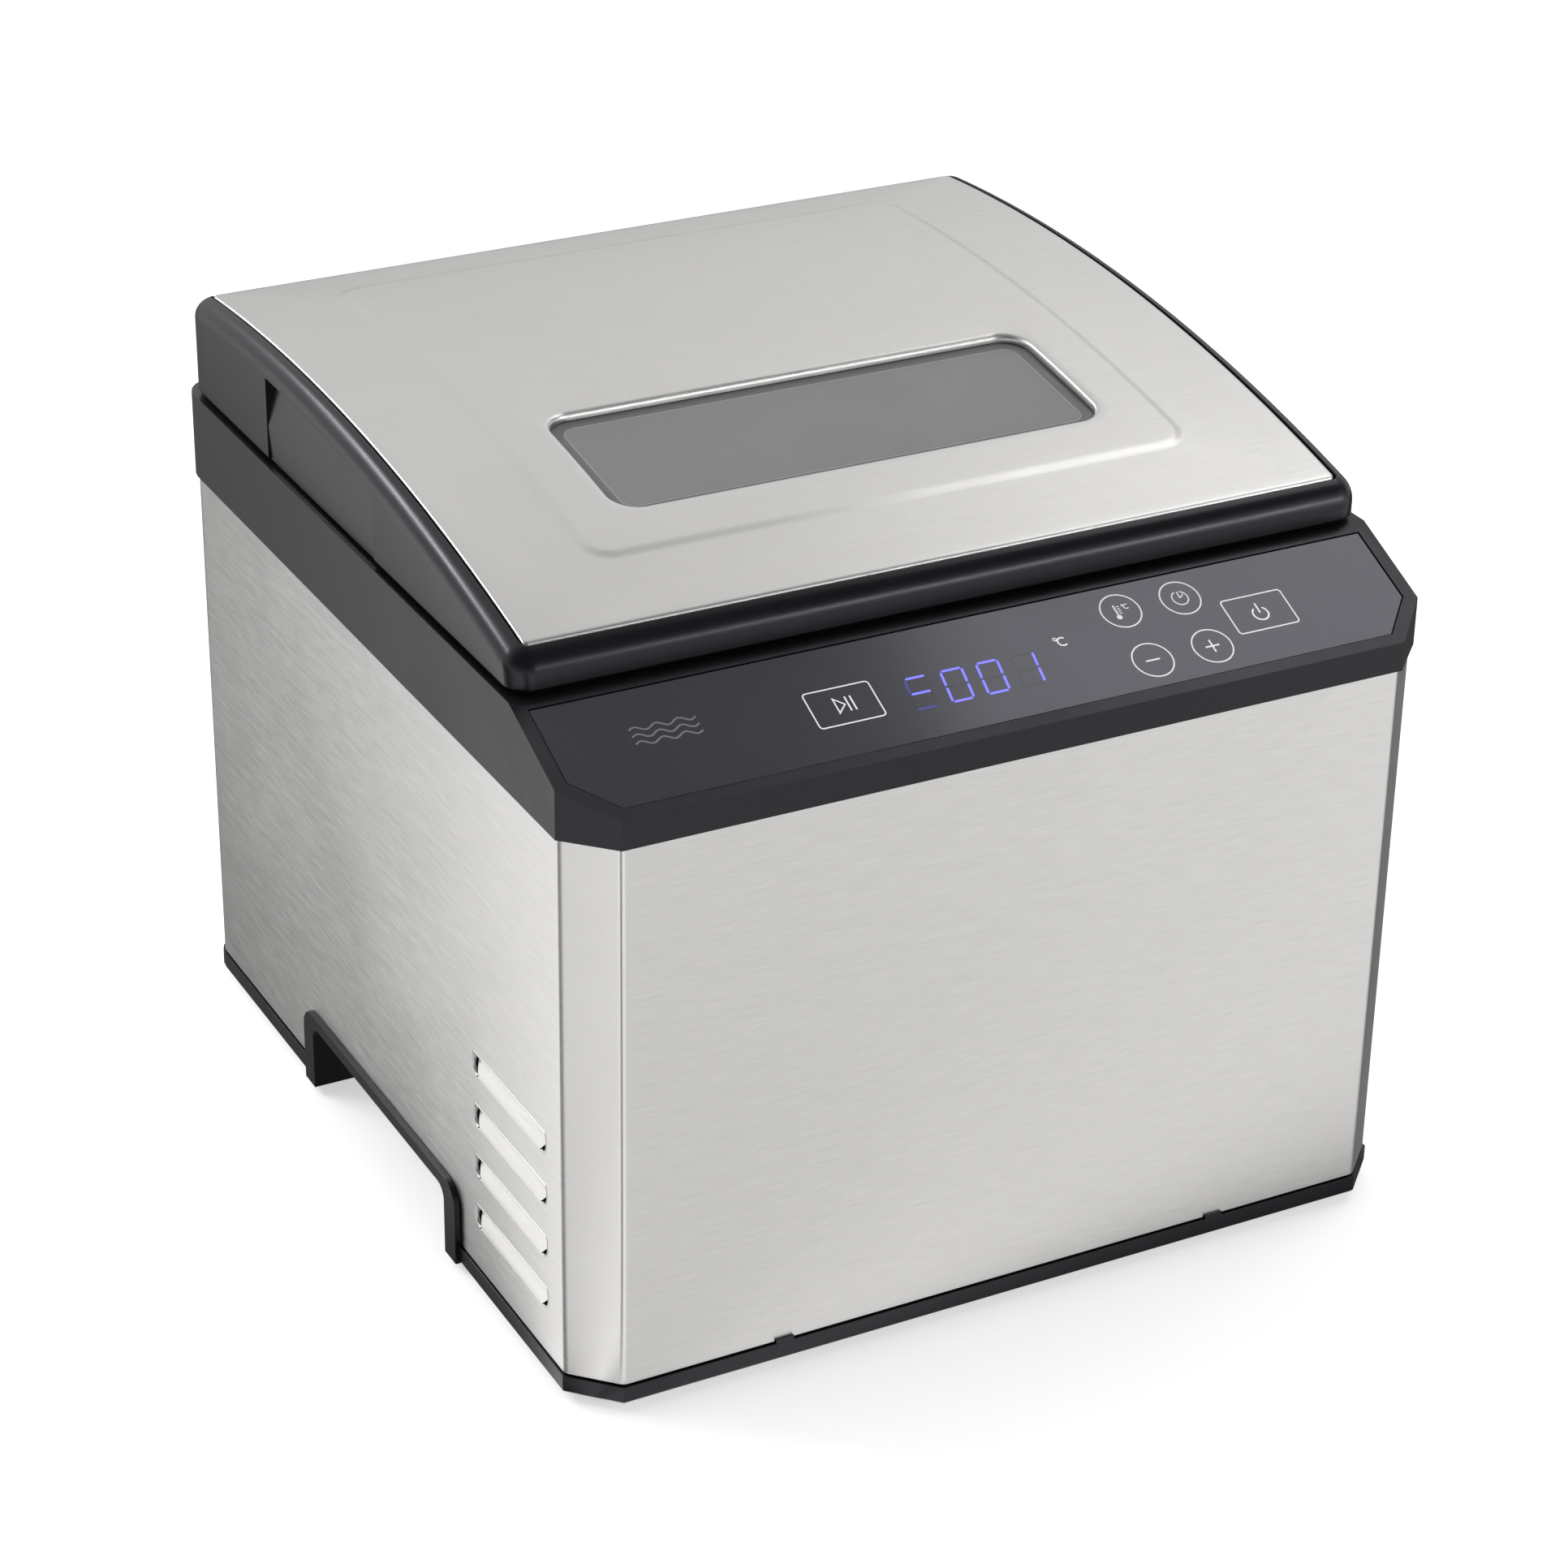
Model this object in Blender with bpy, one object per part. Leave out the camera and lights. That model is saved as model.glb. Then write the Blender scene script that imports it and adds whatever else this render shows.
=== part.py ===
"""Countertop sous vide water oven, modelled piece by piece as it comes apart on a bench.

Lengths in the constants are millimetres; meshes are written in metres.
Frame: +X right, -Y front, +Z up, origin on the table under the middle of the footprint.
"""

import math

import bmesh
import bpy
from mathutils import Matrix, Vector

MM = 0.001
GAP = 0.3                      # clearance left between touching pieces

# ---------------------------------------------------------------- driving dimensions (mm)
HALF_WIDTH = 165.0             # outer half width of the housing
HALF_DEPTH = 175.2             # outer half depth of the housing
CORNER_CUT = 15.7              # leg of the 45 degree cut on the two front corners
REAR_RADIUS = 13.5             # radius of the two rear corners
FOOT_STAND = 3.0               # base tray stands this far above the table

STEEL_BOTTOM = FOOT_STAND + 7.8
BAND_BOTTOM = FOOT_STAND + 215.0
BAND_FRONT_TOP = FOOT_STAND + 226.2
DECK_TOP = FOOT_STAND + 248.3
FASCIA_BACK_Y = -124.7         # where the sloped control fascia meets the deck
BAND_PROUD = 0.6               # black band stands out past the nominal outline
STEEL_INSET = 0.8              # steel sheet sits back from the nominal outline
SHEET = 0.7                    # thickness of the steel wrap

LID_BOTTOM = FOOT_STAND + 250.0
LID_CREST = FOOT_STAND + 290.4
LID_HALF_WIDTH = 164.0
LID_FRONT = -125.0
LID_REAR = 172.6
LID_ARC_Y = 89.1               # crest of the lid's long arc
LID_ARC_R = 838.2
LID_WALL = 3.0
RIM_ROLL = 8.0                 # rounding along the sides and front of the lid
REAR_ROLL = 16.5               # fuller rounding along its back
FRONT_PLAN_R = 9.0
REAR_PLAN_R = 15.0
RIM_WIDTH = 6.4                # black rim seen round the steel skin
SEAT_SINK = 3.0                # the skin's seat lies this far under the crown
LEDGE_REACH = 16.0
SKIN_SHEET = 0.8
EMBOSS_HALF_WIDTH = 116.5      # raised field pressed in the skin
EMBOSS_FRONT = -84.0
EMBOSS_REAR = 140.0
EMBOSS_RADIUS = 10.0
EMBOSS_RAISE = 0.8
EMBOSS_SOFT = 2.5

WINDOW_HALF_WIDTH = 95.5
WINDOW_FRONT = -61.4
WINDOW_REAR = 2.0
WINDOW_RADIUS = 10.0
WINDOW_FLANGE = 3.5

TANK_HALF_WIDTH = 122.0
TANK_FRONT = -92.0
TANK_REAR = 142.0
TANK_RADIUS = 28.0
TANK_FLOOR = 64.4
TANK_SHEET = 0.8
TANK_FLANGE = 14.0

HOLD_HALF = 62.2               # finger opening under each side, half length
HOLD_TOP = FOOT_STAND + 27.0
HOLD_DEPTH = 32.0
HOLD_LIP = 5.0                 # width of its lip over the top
HOLD_LIP_ENDS = 9.6            # and at the two ends
HOLD_PROUD = 2.5               # the lip stands out this far from the steel

GRIP_FRONT = -9.5
GRIP_REAR = 89.0
GRIP_CREASE_Z = LID_BOTTOM + 13.3

RETURN_X = 142.0               # the wrap's two rear returns end here

LOUVRE_COUNT = 4
LOUVRE_PITCH = 20.9
LOUVRE_LOW_Z = FOOT_STAND + 25.4
LOUVRE_HEIGHT = 9.0
LOUVRE_FRONT = -146.8
LOUVRE_REAR = -85.4
LOUVRE_TAPER = 4.2
LOUVRE_DEPTH = 3.6

LID_TRAVEL_AXIS = (0.0, 24.0, LID_BOTTOM)
RACK_TRAVEL_AXIS = (0.0, 25.0, TANK_FLOOR + 8.0)
GRILLE_TRAVEL_AXIS = (0.0, 25.0, TANK_FLOOR)


# ---------------------------------------------------------------- scene and materials
def clear_scene():
    for obj in list(bpy.data.objects):
        bpy.data.objects.remove(obj, do_unlink=True)


def material(name, color, roughness, metallic=0.0):
    mat = bpy.data.materials.new(name)
    mat.use_nodes = True
    shader = mat.node_tree.nodes["Principled BSDF"]
    shader.inputs["Base Color"].default_value = (*color, 1.0)
    shader.inputs["Roughness"].default_value = roughness
    shader.inputs["Metallic"].default_value = metallic
    return mat


def make_materials():
    return {
        "brushed_steel": material("brushed_steel", (0.62, 0.61, 0.59), 0.34, 1.0),
        "tank_steel": material("tank_steel", (0.66, 0.66, 0.65), 0.24, 1.0),
        "zinc_sheet": material("zinc_sheet", (0.55, 0.56, 0.58), 0.42, 1.0),
        "black_plastic": material("black_plastic", (0.014, 0.014, 0.016), 0.42),
        "overlay_gloss": material("overlay_gloss", (0.035, 0.036, 0.042), 0.12),
        "frosted_glass": material("frosted_glass", (0.30, 0.31, 0.32), 0.22),
        "silicone": material("silicone", (0.32, 0.32, 0.33), 0.62),
        "rubber": material("rubber", (0.018, 0.018, 0.018), 0.78),
        "liner_plastic": material("liner_plastic", (0.05, 0.05, 0.055), 0.48),
        "board_green": material("board_green", (0.03, 0.16, 0.07), 0.45),
        "aluminium": material("aluminium", (0.72, 0.72, 0.73), 0.36, 1.0),
        "brass": material("brass", (0.72, 0.55, 0.26), 0.3, 1.0),
        "component_dark": material("component_dark", (0.03, 0.03, 0.035), 0.5),
        "component_blue": material("component_blue", (0.04, 0.10, 0.32), 0.4),
        "core_steel": material("core_steel", (0.20, 0.19, 0.18), 0.5, 0.8),
        "display": material("display", (0.05, 0.05, 0.09), 0.3),
    }


# ---------------------------------------------------------------- outlines
def arc(cx, cy, r, start, end, steps):
    """Points of an arc from one angle to the other, in degrees, both ends included."""
    angles = [math.radians(start + (end - start) * i / steps) for i in range(steps + 1)]
    return [(cx + r * math.cos(a), cy + r * math.sin(a)) for a in angles]


def rounded_rect(x0, x1, y0, y1, r, steps=4, r_rear=None):
    """Counter-clockwise rectangle; the rear pair of corners may have its own radius."""
    rr = r if r_rear is None else r_rear
    points = arc(x1 - rr, y1 - rr, rr, 0, 90, steps)
    points += arc(x0 + rr, y1 - rr, rr, 90, 180, steps)
    points += arc(x0 + r, y0 + r, r, 180, 270, steps)
    points += arc(x1 - r, y0 + r, r, 270, 360, steps)
    return points


def housing_path():
    """Left rear corner, down the left side, across the front and up to the right rear corner."""
    r = REAR_RADIUS
    left = arc(-HALF_WIDTH + r, HALF_DEPTH - r, r, 90, 180, 6)
    right = arc(HALF_WIDTH - r, HALF_DEPTH - r, r, 0, 90, 6)
    front = [
        (-HALF_WIDTH, -HALF_DEPTH + CORNER_CUT),
        (-HALF_WIDTH + CORNER_CUT, -HALF_DEPTH),
        (HALF_WIDTH - CORNER_CUT, -HALF_DEPTH),
        (HALF_WIDTH, -HALF_DEPTH + CORNER_CUT),
    ]
    return left + front + right


def shifted(points, distance, closed=True):
    """Move a counter-clockwise line inwards by a distance, with mitred corners."""
    count = len(points)
    result = []
    for i in range(count):
        here = Vector(points[i])
        before = Vector(points[i - 1]) if closed or i > 0 else None
        after = Vector(points[(i + 1) % count]) if closed or i < count - 1 else None
        normals = []
        for a, b in ((before, here), (here, after)):
            if a is not None and b is not None and (b - a).length > 1e-6:
                run = (b - a).normalized()
                normals.append(Vector((-run.y, run.x)))
        if len(normals) == 2:
            middle = (normals[0] + normals[1]).normalized()
            step = middle * (distance / middle.dot(normals[0]))
        else:
            step = normals[0] * distance
        result.append(tuple(here + step))
    return result


def housing_outline(inset):
    return shifted(housing_path(), inset)


def at_height(points, z):
    return [(x, y, z) for x, y in points]


# ---------------------------------------------------------------- solids
def loft(loops, ring=False):
    """Skin a run of equal loops; the two end loops are capped unless the run closes on itself."""
    bm = bmesh.new()
    rows = [[bm.verts.new(p) for p in loop] for loop in loops]
    count = len(loops[0])
    pairs = list(zip(rows, rows[1:]))
    if ring:
        pairs.append((rows[-1], rows[0]))
    for low, high in pairs:
        for i in range(count):
            j = (i + 1) % count
            bm.faces.new((low[i], low[j], high[j], high[i]))
    if not ring:
        bm.faces.new(list(reversed(rows[0])))
        bm.faces.new(rows[-1])
    bmesh.ops.recalc_face_normals(bm, faces=bm.faces)
    return bm


def prism(points, z0, z1):
    return loft([at_height(points, z0), at_height(points, z1)])


def tube_wall(outer, inner, z0, z1):
    loops = [at_height(outer, z0), at_height(outer, z1)]
    loops += [at_height(inner, z1), at_height(inner, z0)]
    return loft(loops, ring=True)


def box(x0, x1, y0, y1, z0, z1):
    return prism([(x0, y0), (x1, y0), (x1, y1), (x0, y1)], z0, z1)


def prism_x(points_yz, x0, x1):
    return loft([[(x, y, z) for y, z in points_yz] for x in (x0, x1)])


def prism_y(points_xz, y0, y1):
    return loft([[(x, y, z) for x, z in points_xz] for y in (y0, y1)])


def turned(profile, steps=16):
    """Turn a run of (radius, height) about Z; both ends are capped flat."""
    return loft([at_height(arc(0, 0, r, 0, 360 - 360 / steps, steps - 1), z) for r, z in profile])


def moved(bm, matrix):
    bmesh.ops.transform(bm, matrix=matrix, verts=bm.verts)
    return bm


def placed(bm, x, y, z):
    return moved(bm, Matrix.Translation((x, y, z)))


def joined(pieces):
    """Several clear-standing solids in one mesh, for use as a tool."""
    whole = bmesh.new()
    for piece in pieces:
        scratch = bpy.data.meshes.new("scratch")
        piece.to_mesh(scratch)
        piece.free()
        whole.from_mesh(scratch)
        bpy.data.meshes.remove(scratch)
    return whole


def swept(path, radius, sides=8):
    """Round bar along a run of points, capped at both ends."""
    points = [Vector(p) for p in path]
    loops = []
    side = None
    for i, point in enumerate(points):
        back = points[max(i - 1, 0)]
        ahead = points[min(i + 1, len(points) - 1)]
        run = (ahead - back).normalized()
        if side is None:
            side = run.orthogonal().normalized()
        side = (side - run * side.dot(run)).normalized()
        other = run.cross(side)
        angles = [2 * math.pi * k / sides for k in range(sides)]
        spokes = [side * math.cos(a) + other * math.sin(a) for a in angles]
        loops.append([tuple(point + spoke * radius) for spoke in spokes])
    return loft(loops)


# ---------------------------------------------------------------- objects
def add_piece(name, bm, mat, parent=None, smooth=False):
    """Turn a millimetre bmesh into a named object; a parent empty is its joint's axis."""
    offset = Vector(parent.location) if parent else Vector((0, 0, 0))
    mesh = bpy.data.meshes.new(name)
    bmesh.ops.scale(bm, vec=(MM, MM, MM), verts=bm.verts)
    bmesh.ops.translate(bm, vec=-offset, verts=bm.verts)
    bm.to_mesh(mesh)
    bm.free()
    mesh.materials.append(mat)
    obj = bpy.data.objects.new(name, mesh)
    obj.parent = parent
    bpy.context.collection.objects.link(obj)
    if smooth:
        mesh.shade_smooth()
        mesh.set_sharp_from_angle(angle=math.radians(35))
    return obj


def shape_with(obj, bm, operation, label):
    """Join, cut or keep the overlap with a tool solid, which stays out of the build."""
    mesh = bpy.data.meshes.new(f"{obj.name}_{label}")
    bmesh.ops.scale(bm, vec=(MM, MM, MM), verts=bm.verts)
    bm.to_mesh(mesh)
    bm.free()
    tool = bpy.data.objects.new(mesh.name, mesh)
    tool.hide_render = True
    tool.display_type = "WIRE"
    bpy.context.collection.objects.link(tool)
    modifier = obj.modifiers.new(label, "BOOLEAN")
    modifier.operation = operation
    modifier.object = tool
    modifier.solver = "EXACT"


def cut(obj, bm, label):
    shape_with(obj, bm, "DIFFERENCE", label)


def fuse(obj, bm, label):
    shape_with(obj, bm, "UNION", label)


def joint_empty(name, place):
    empty = bpy.data.objects.new(name, None)
    empty.location = [value * MM for value in place]
    bpy.context.collection.objects.link(empty)
    return empty


def add_screw(name, place, axis, mat, head_r=3.4, head_h=1.8, shank_r=1.5, length=9.0, parent=None):
    """Pan-head screw; its head's underside is at the place, its shank runs along the axis."""
    profile = [(head_r - 0.9, -head_h), (head_r, -head_h * 0.55), (head_r, 0.0)]
    profile += [(shank_r, 0.0), (shank_r, length - 1.2), (0.4, length)]
    bm = turned(profile, steps=8)
    slot = 0.45
    turn = Vector((0, 0, 1)).rotation_difference(Vector(axis)).to_matrix().to_4x4()
    frame = Matrix.Translation(place) @ turn
    moved(bm, frame)
    obj = add_piece(name, bm, mat, parent, smooth=True)
    recess = box(-head_r * 0.55, head_r * 0.55, -slot, slot, -head_h - 1.0, -head_h + 0.8)
    cut(obj, moved(recess, frame), "driver_slot")
    return obj


# ---------------------------------------------------------------- base
def hold_outline(grow, z0, grow_ends=None):
    """Round-shouldered outline of a finger opening, in Y and Z."""
    half = HOLD_HALF + (grow if grow_ends is None else grow_ends)
    top = HOLD_TOP + grow
    r = 5.0 + grow * 0.6
    points = [(half, z0)]
    points += arc(half - r, top - r, r, 0, 90, 4)
    points += arc(-half + r, top - r, r, 90, 180, 4)
    points += [(-half, z0)]
    return points


def make_base_tray(mats):
    """Black moulded tray: floor, outer lip, upstand behind the steel and two finger pockets."""
    floor_top = FOOT_STAND + 3.0
    lip_top = STEEL_BOTTOM - 0.6
    upstand_top = FOOT_STAND + 21.0
    loops = [
        at_height(housing_outline(1.2), FOOT_STAND),
        at_height(housing_outline(0.0), FOOT_STAND + 1.2),
        at_height(housing_outline(0.0), lip_top),
        at_height(housing_outline(3.2), lip_top),
        at_height(housing_outline(3.2), upstand_top),
        at_height(housing_outline(5.2), upstand_top),
        at_height(housing_outline(5.2), floor_top),
    ]
    tray = add_piece("base_tray", loft(loops), mats["black_plastic"])
    steel_x = HALF_WIDTH - STEEL_INSET
    for side, label in ((-1, "left"), (1, "right")):
        neck = prism_x(hold_outline(2.5, FOOT_STAND), side * 131.0, side * (steel_x + 0.6))
        fuse(tray, neck, f"{label}_pocket")
        lip_x = (steel_x + GAP, steel_x + HOLD_PROUD)
        lip = hold_outline(HOLD_LIP, FOOT_STAND, HOLD_LIP_ENDS)
        fuse(tray, prism_x(lip, side * lip_x[0], side * lip_x[1]), f"{label}_lip")
        hollow = prism_x(hold_outline(0.0, -2.0), side * (HALF_WIDTH - HOLD_DEPTH), side * (HALF_WIDTH + 9))
        cut(tray, hollow, f"{label}_finger_space")
    tab_y = -HALF_DEPTH
    tabs = []
    for x in (-87.6, 87.6):
        tabs.append(box(x - 3.5, x + 3.5, tab_y - 0.2, tab_y + 0.45, lip_top - 2, STEEL_BOTTOM + 1.2))
    fuse(tray, joined(tabs), "front_tabs")
    slots = [box(x - 2, x + 2, -162, -128, 0, FOOT_STAND + 6) for x in range(-72, 73, 16)]
    slots += [box(x - 2, x + 2, 118, 152, 0, FOOT_STAND + 6) for x in range(-72, 73, 16)]
    cut(tray, joined(slots), "air_slots")
    holes = [placed(turned([(3.9, 0), (3.9, 12)], 12), x, y, 0) for x, y in foot_places()]
    holes += [placed(turned([(1.9, 0), (1.9, 12)], 10), x, y, 0) for x, y in base_screw_places()]
    holes += [placed(bore_y(1.7, 160, 182, 10), x, 0, z) for x, z in rear_screw_places() if z < 100]
    cut(tray, joined(holes), "holes")
    return tray


def foot_places():
    return [(-138.0, -146.0), (138.0, -146.0), (-138.0, 148.0), (138.0, 148.0)]


def base_screw_places():
    return [(-104.0, -30.0), (104.0, -30.0), (-104.0, 80.0), (104.0, 80.0)]


def make_feet(mats):
    names = ["foot_front_left", "foot_front_right", "foot_rear_left", "foot_rear_right"]
    profile = [(9.8, 0), (11, 1.0), (11, FOOT_STAND - GAP), (3.5, FOOT_STAND - GAP), (3.5, 9.0), (2.6, 10.0)]
    for name, (x, y) in zip(names, foot_places()):
        add_piece(name, placed(turned(profile, 16), x, y, 0), mats["rubber"], smooth=True)


def make_base_screws(mats):
    for i, (x, y) in enumerate(base_screw_places()):
        place = (x, y, FOOT_STAND - GAP)
        add_screw(f"base_screw_{i + 1}", place, (0, 0, 1), mats["zinc_sheet"], head_r=3.2,
                  shank_r=1.5, length=11)


# ---------------------------------------------------------------- steel wrap and rear
def louvre_wedge(z, grow, top, out):
    """Scoop under one louvre on the left side: wide at its open top, running out at its foot."""
    skin_x = -(HALF_WIDTH - STEEL_INSET)
    front = LOUVRE_FRONT - grow
    rear = LOUVRE_REAR + grow
    low_z = z - grow * 1.4
    deep = LOUVRE_DEPTH + grow
    height = LOUVRE_HEIGHT + grow * 1.4
    slope = deep / height
    foot_x = skin_x - out
    rise = out / slope if out > 0 else 0.0
    foot = [(front + LOUVRE_TAPER, low_z - rise), (rear - LOUVRE_TAPER, low_z - rise)]
    bm = bmesh.new()
    verts = [bm.verts.new((foot_x, y, fz)) for y, fz in foot]
    verts += [bm.verts.new((foot_x, y, top)) for y in (front, rear)]
    back_x = skin_x + deep * (top - low_z) / height
    verts += [bm.verts.new((back_x, y, top)) for y in (front, rear)]
    for face in ((0, 1, 3, 2), (0, 4, 5, 1), (0, 2, 4), (1, 5, 3), (2, 3, 5, 4)):
        bm.faces.new([verts[i] for i in face])
    bmesh.ops.recalc_face_normals(bm, faces=bm.faces)
    return bm


def mirrored_pair(make):
    """A left-side tool and its mirror image on the right."""
    left = make()
    right = moved(make(), Matrix.Scale(-1, 4, (1, 0, 0)))
    bmesh.ops.recalc_face_normals(right, faces=right.faces)
    return [left, right]


def make_outer_casing(mats):
    """One steel sheet folded round the front and both sides, returned a little onto the back."""
    rear_y = HALF_DEPTH - STEEL_INSET
    path = shifted(housing_path(), STEEL_INSET, closed=False)
    path = [(-RETURN_X, rear_y)] + path + [(RETURN_X, rear_y)]
    outline = path + list(reversed(shifted(path, SHEET, closed=False)))
    sheet = prism(outline, STEEL_BOTTOM, BAND_BOTTOM - GAP)
    casing = add_piece("outer_casing", sheet, mats["brushed_steel"])
    scoops = []
    hollows = []
    for i in range(LOUVRE_COUNT):
        z = LOUVRE_LOW_Z + i * LOUVRE_PITCH
        top = z + LOUVRE_HEIGHT
        scoops += mirrored_pair(lambda: louvre_wedge(z, SHEET, top - 0.4, -0.1))
        hollows += mirrored_pair(lambda: louvre_wedge(z, 0.0, top, 0.5))
    fuse(casing, joined(scoops), "louvre_scoops")
    cut(casing, joined(hollows), "louvre_mouths")
    notches = []
    for side in (-1, 1):
        notches.append(prism_x(hold_outline(2.5 + GAP, 0.0), side * 150.0, side * 172.0))
    cut(casing, joined(notches), "hand_notches")
    holes = [placed(bore_y(4.1, 160, 180), x, 0, z) for x, z in rear_screw_places()]
    cut(casing, joined(holes), "screw_holes")
    return casing


def bore_y(r, y0, y1, steps=12):
    return prism_y(arc(0, 0, r, 0, 360 - 360 / steps, steps - 1), y0, y1)


def rear_screw_places():
    return [(-148.4, 17.0), (148.4, 17.0), (-148.4, 212.0), (148.4, 212.0)]


INLET_X = -98.0
INLET_Z = 52.0


def rear_plane():
    """Outer face of the rear cover, just inside the returns of the wrap."""
    return HALF_DEPTH - STEEL_INSET - SHEET - GAP


def make_rear_cover(mats):
    y1 = rear_plane()
    panel = box(-152.0, 152.0, y1 - 1.0, y1, STEEL_BOTTOM + 1, BAND_BOTTOM - 0.8)
    cover = add_piece("rear_cover", panel, mats["zinc_sheet"])
    holes = [placed(bore_y(1.9, 160, 180, 10), x, 0, z) for x, z in rear_screw_places()]
    holes += [placed(bore_y(1.9, 160, 180, 10), INLET_X + dx, 0, INLET_Z) for dx in (-20, 20)]
    holes.append(box(INLET_X - 14.2, INLET_X + 14.2, 160, 180, INLET_Z - 10.4, INLET_Z + 10.4))
    for row_z in (150, 164, 178):
        holes += [box(x - 13, x + 13, 160, 180, row_z - 2, row_z + 2) for x in range(-96, 97, 32)]
    cut(cover, joined(holes), "openings")
    return cover


def inlet_socket_outline(grow):
    """Appliance inlet mouth: a rectangle with its two lower corners cut."""
    w = 12.0 + grow
    h = 8.2 + grow
    c = 5.0
    return [(-w, h), (-w, -h + c), (-w + c, -h), (w - c, -h), (w, -h + c), (w, h)]


def pin_places():
    return {"inlet_pin_line": (-7.0, -2.0), "inlet_pin_earth": (0.0, 2.0), "inlet_pin_neutral": (7.0, -2.0)}


def inlet_shape(points):
    return [(x + INLET_X, z + INLET_Z) for x, z in points]


def make_power_inlet(mats):
    """Three-pin appliance inlet held behind the rear cover, open to the back."""
    panel_inner = rear_plane() - 1.0
    flange_line = inlet_shape(rounded_rect(-25, 25, -11.3, 11.3, 4, 3))
    flange = prism_y(flange_line, panel_inner - 2.3, panel_inner - GAP)
    inlet = add_piece("power_inlet", flange, mats["black_plastic"])
    fuse(inlet, prism_y(inlet_shape(inlet_socket_outline(1.8)), 154.0, rear_plane() + 0.6), "barrel")
    cut(inlet, prism_y(inlet_shape(inlet_socket_outline(0.0)), 158.0, 180.0), "socket")
    slots = []
    for x, z in pin_places().values():
        slots.append(placed(box(-1.3, 1.3, 150, 160, -2.3, 2.3), INLET_X + x, 0, INLET_Z + z))
    slots += [placed(bore_y(1.7, 166, 180, 10), INLET_X + dx, 0, INLET_Z) for dx in (-20, 20)]
    cut(inlet, joined(slots), "pin_and_screw_holes")
    for name, (x, z) in pin_places().items():
        blade = placed(box(-1.0, 1.0, 146, 170, -2.0, 2.0), INLET_X + x, 0, INLET_Z + z)
        add_piece(name, blade, mats["brass"])
    for i, dx in enumerate((-20, 20)):
        place = (INLET_X + dx, rear_plane() + GAP, INLET_Z)
        add_screw(f"inlet_screw_{i + 1}", place, (0, -1, 0), mats["zinc_sheet"], head_r=2.9, head_h=1.4,
                  shank_r=1.4, length=8)


def make_rear_screws(mats):
    for i, (x, z) in enumerate(rear_screw_places()):
        place = (x, rear_plane() + GAP, z)
        add_screw(f"rear_screw_{i + 1}", place, (0, -1, 0), mats["zinc_sheet"], length=10)


# ---------------------------------------------------------------- top frame and control panel
FASCIA_RUN = FASCIA_BACK_Y + HALF_DEPTH
FASCIA_ANGLE = math.atan2(DECK_TOP - BAND_FRONT_TOP, FASCIA_RUN)
DISPLAY_LEFT = -36.0
DISPLAY_RIGHT = 20.5
DISPLAY_LOW = 13.0
DISPLAY_HIGH = 34.5


def fascia_frame():
    """Local axes on the slope: X right, Y up the slope from its front edge, Z out of it."""
    return Matrix.Translation((0, -HALF_DEPTH, BAND_FRONT_TOP)) @ Matrix.Rotation(FASCIA_ANGLE, 4, "X")


def overlay_outline(grow):
    """Panel outline on the slope: two cut corners at the front, two nearly square at the back."""
    points = [(-160.3, 18.8), (-147.0, 4.2), (147.0, 4.2), (160.3, 18.8), (160.3, 50.4), (-160.3, 50.4)]
    return shifted(points, -grow)


def sloped_prism(outline, z0, z1, sink):
    """Straight-sided solid whose top is trimmed by the fascia slope, sunk below it if asked."""
    bm = prism(outline, z0, z1)
    frame = fascia_frame()
    point = frame @ Vector((0, 0, -sink))
    normal = frame.to_3x3() @ Vector((0, 0, 1))
    geom = bm.verts[:] + bm.edges[:] + bm.faces[:]
    bmesh.ops.bisect_plane(bm, geom=geom, plane_co=point, plane_no=normal, clear_outer=True)
    rim = [edge for edge in bm.edges if edge.is_boundary]
    bmesh.ops.edgeloop_fill(bm, edges=rim)
    bmesh.ops.recalc_face_normals(bm, faces=bm.faces)
    return bm


def control_boss_places():
    return [(-104.0, 12.0), (119.0, 12.0)]


def make_top_frame(mats):
    """Black moulded ring on top of the wrap: band, sloped fascia, deck and tank mouth."""
    outer = sloped_prism(housing_outline(-BAND_PROUD), BAND_BOTTOM, DECK_TOP, 0.0)
    frame = add_piece("top_frame", outer, mats["black_plastic"])
    cut(frame, sloped_prism(housing_outline(2.4), BAND_BOTTOM - 2, DECK_TOP - 3, 4.0), "underside")
    skirt = [(1.0, BAND_BOTTOM + 0.4), (1.0, BAND_BOTTOM + 3), (5.2, BAND_BOTTOM + 3)]
    skirt += [(5.2, BAND_BOTTOM - 11), (3.2, BAND_BOTTOM - 11), (3.2, BAND_BOTTOM + 0.4)]
    fuse(frame, loft([at_height(housing_outline(d), z) for d, z in skirt], ring=True), "skirt")
    slope = fascia_frame()
    bosses = []
    for x, s in control_boss_places():
        bosses.append(moved(placed(turned([(4, -11.1), (4, -3.5)], 12), x, s, 0), slope))
    fuse(frame, joined(bosses), "bosses")
    mouth = [(x, y) for x, y, _ in tank_loop(-1.3, 0)]
    cut(frame, prism(mouth, DECK_TOP - 12, DECK_TOP + 5), "tank_mouth")
    cut(frame, moved(prism(overlay_outline(GAP), -1.8, 5), slope), "overlay_recess")
    window = rounded_rect(DISPLAY_LEFT - 1, DISPLAY_RIGHT + 1, DISPLAY_LOW - 1, DISPLAY_HIGH + 1, 1, 1)
    cut(frame, moved(prism(window, -9, 1), slope), "display_window")
    holes = [placed(bore_y(1.7, 160, 182, 10), x, 0, z) for x, z in rear_screw_places() if z > 100]
    for x, s in control_boss_places():
        holes.append(moved(placed(turned([(1.5, -13), (1.5, -6)], 10), x, s, 0), slope))
    cut(frame, joined(holes), "screw_holes")
    return frame


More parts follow.
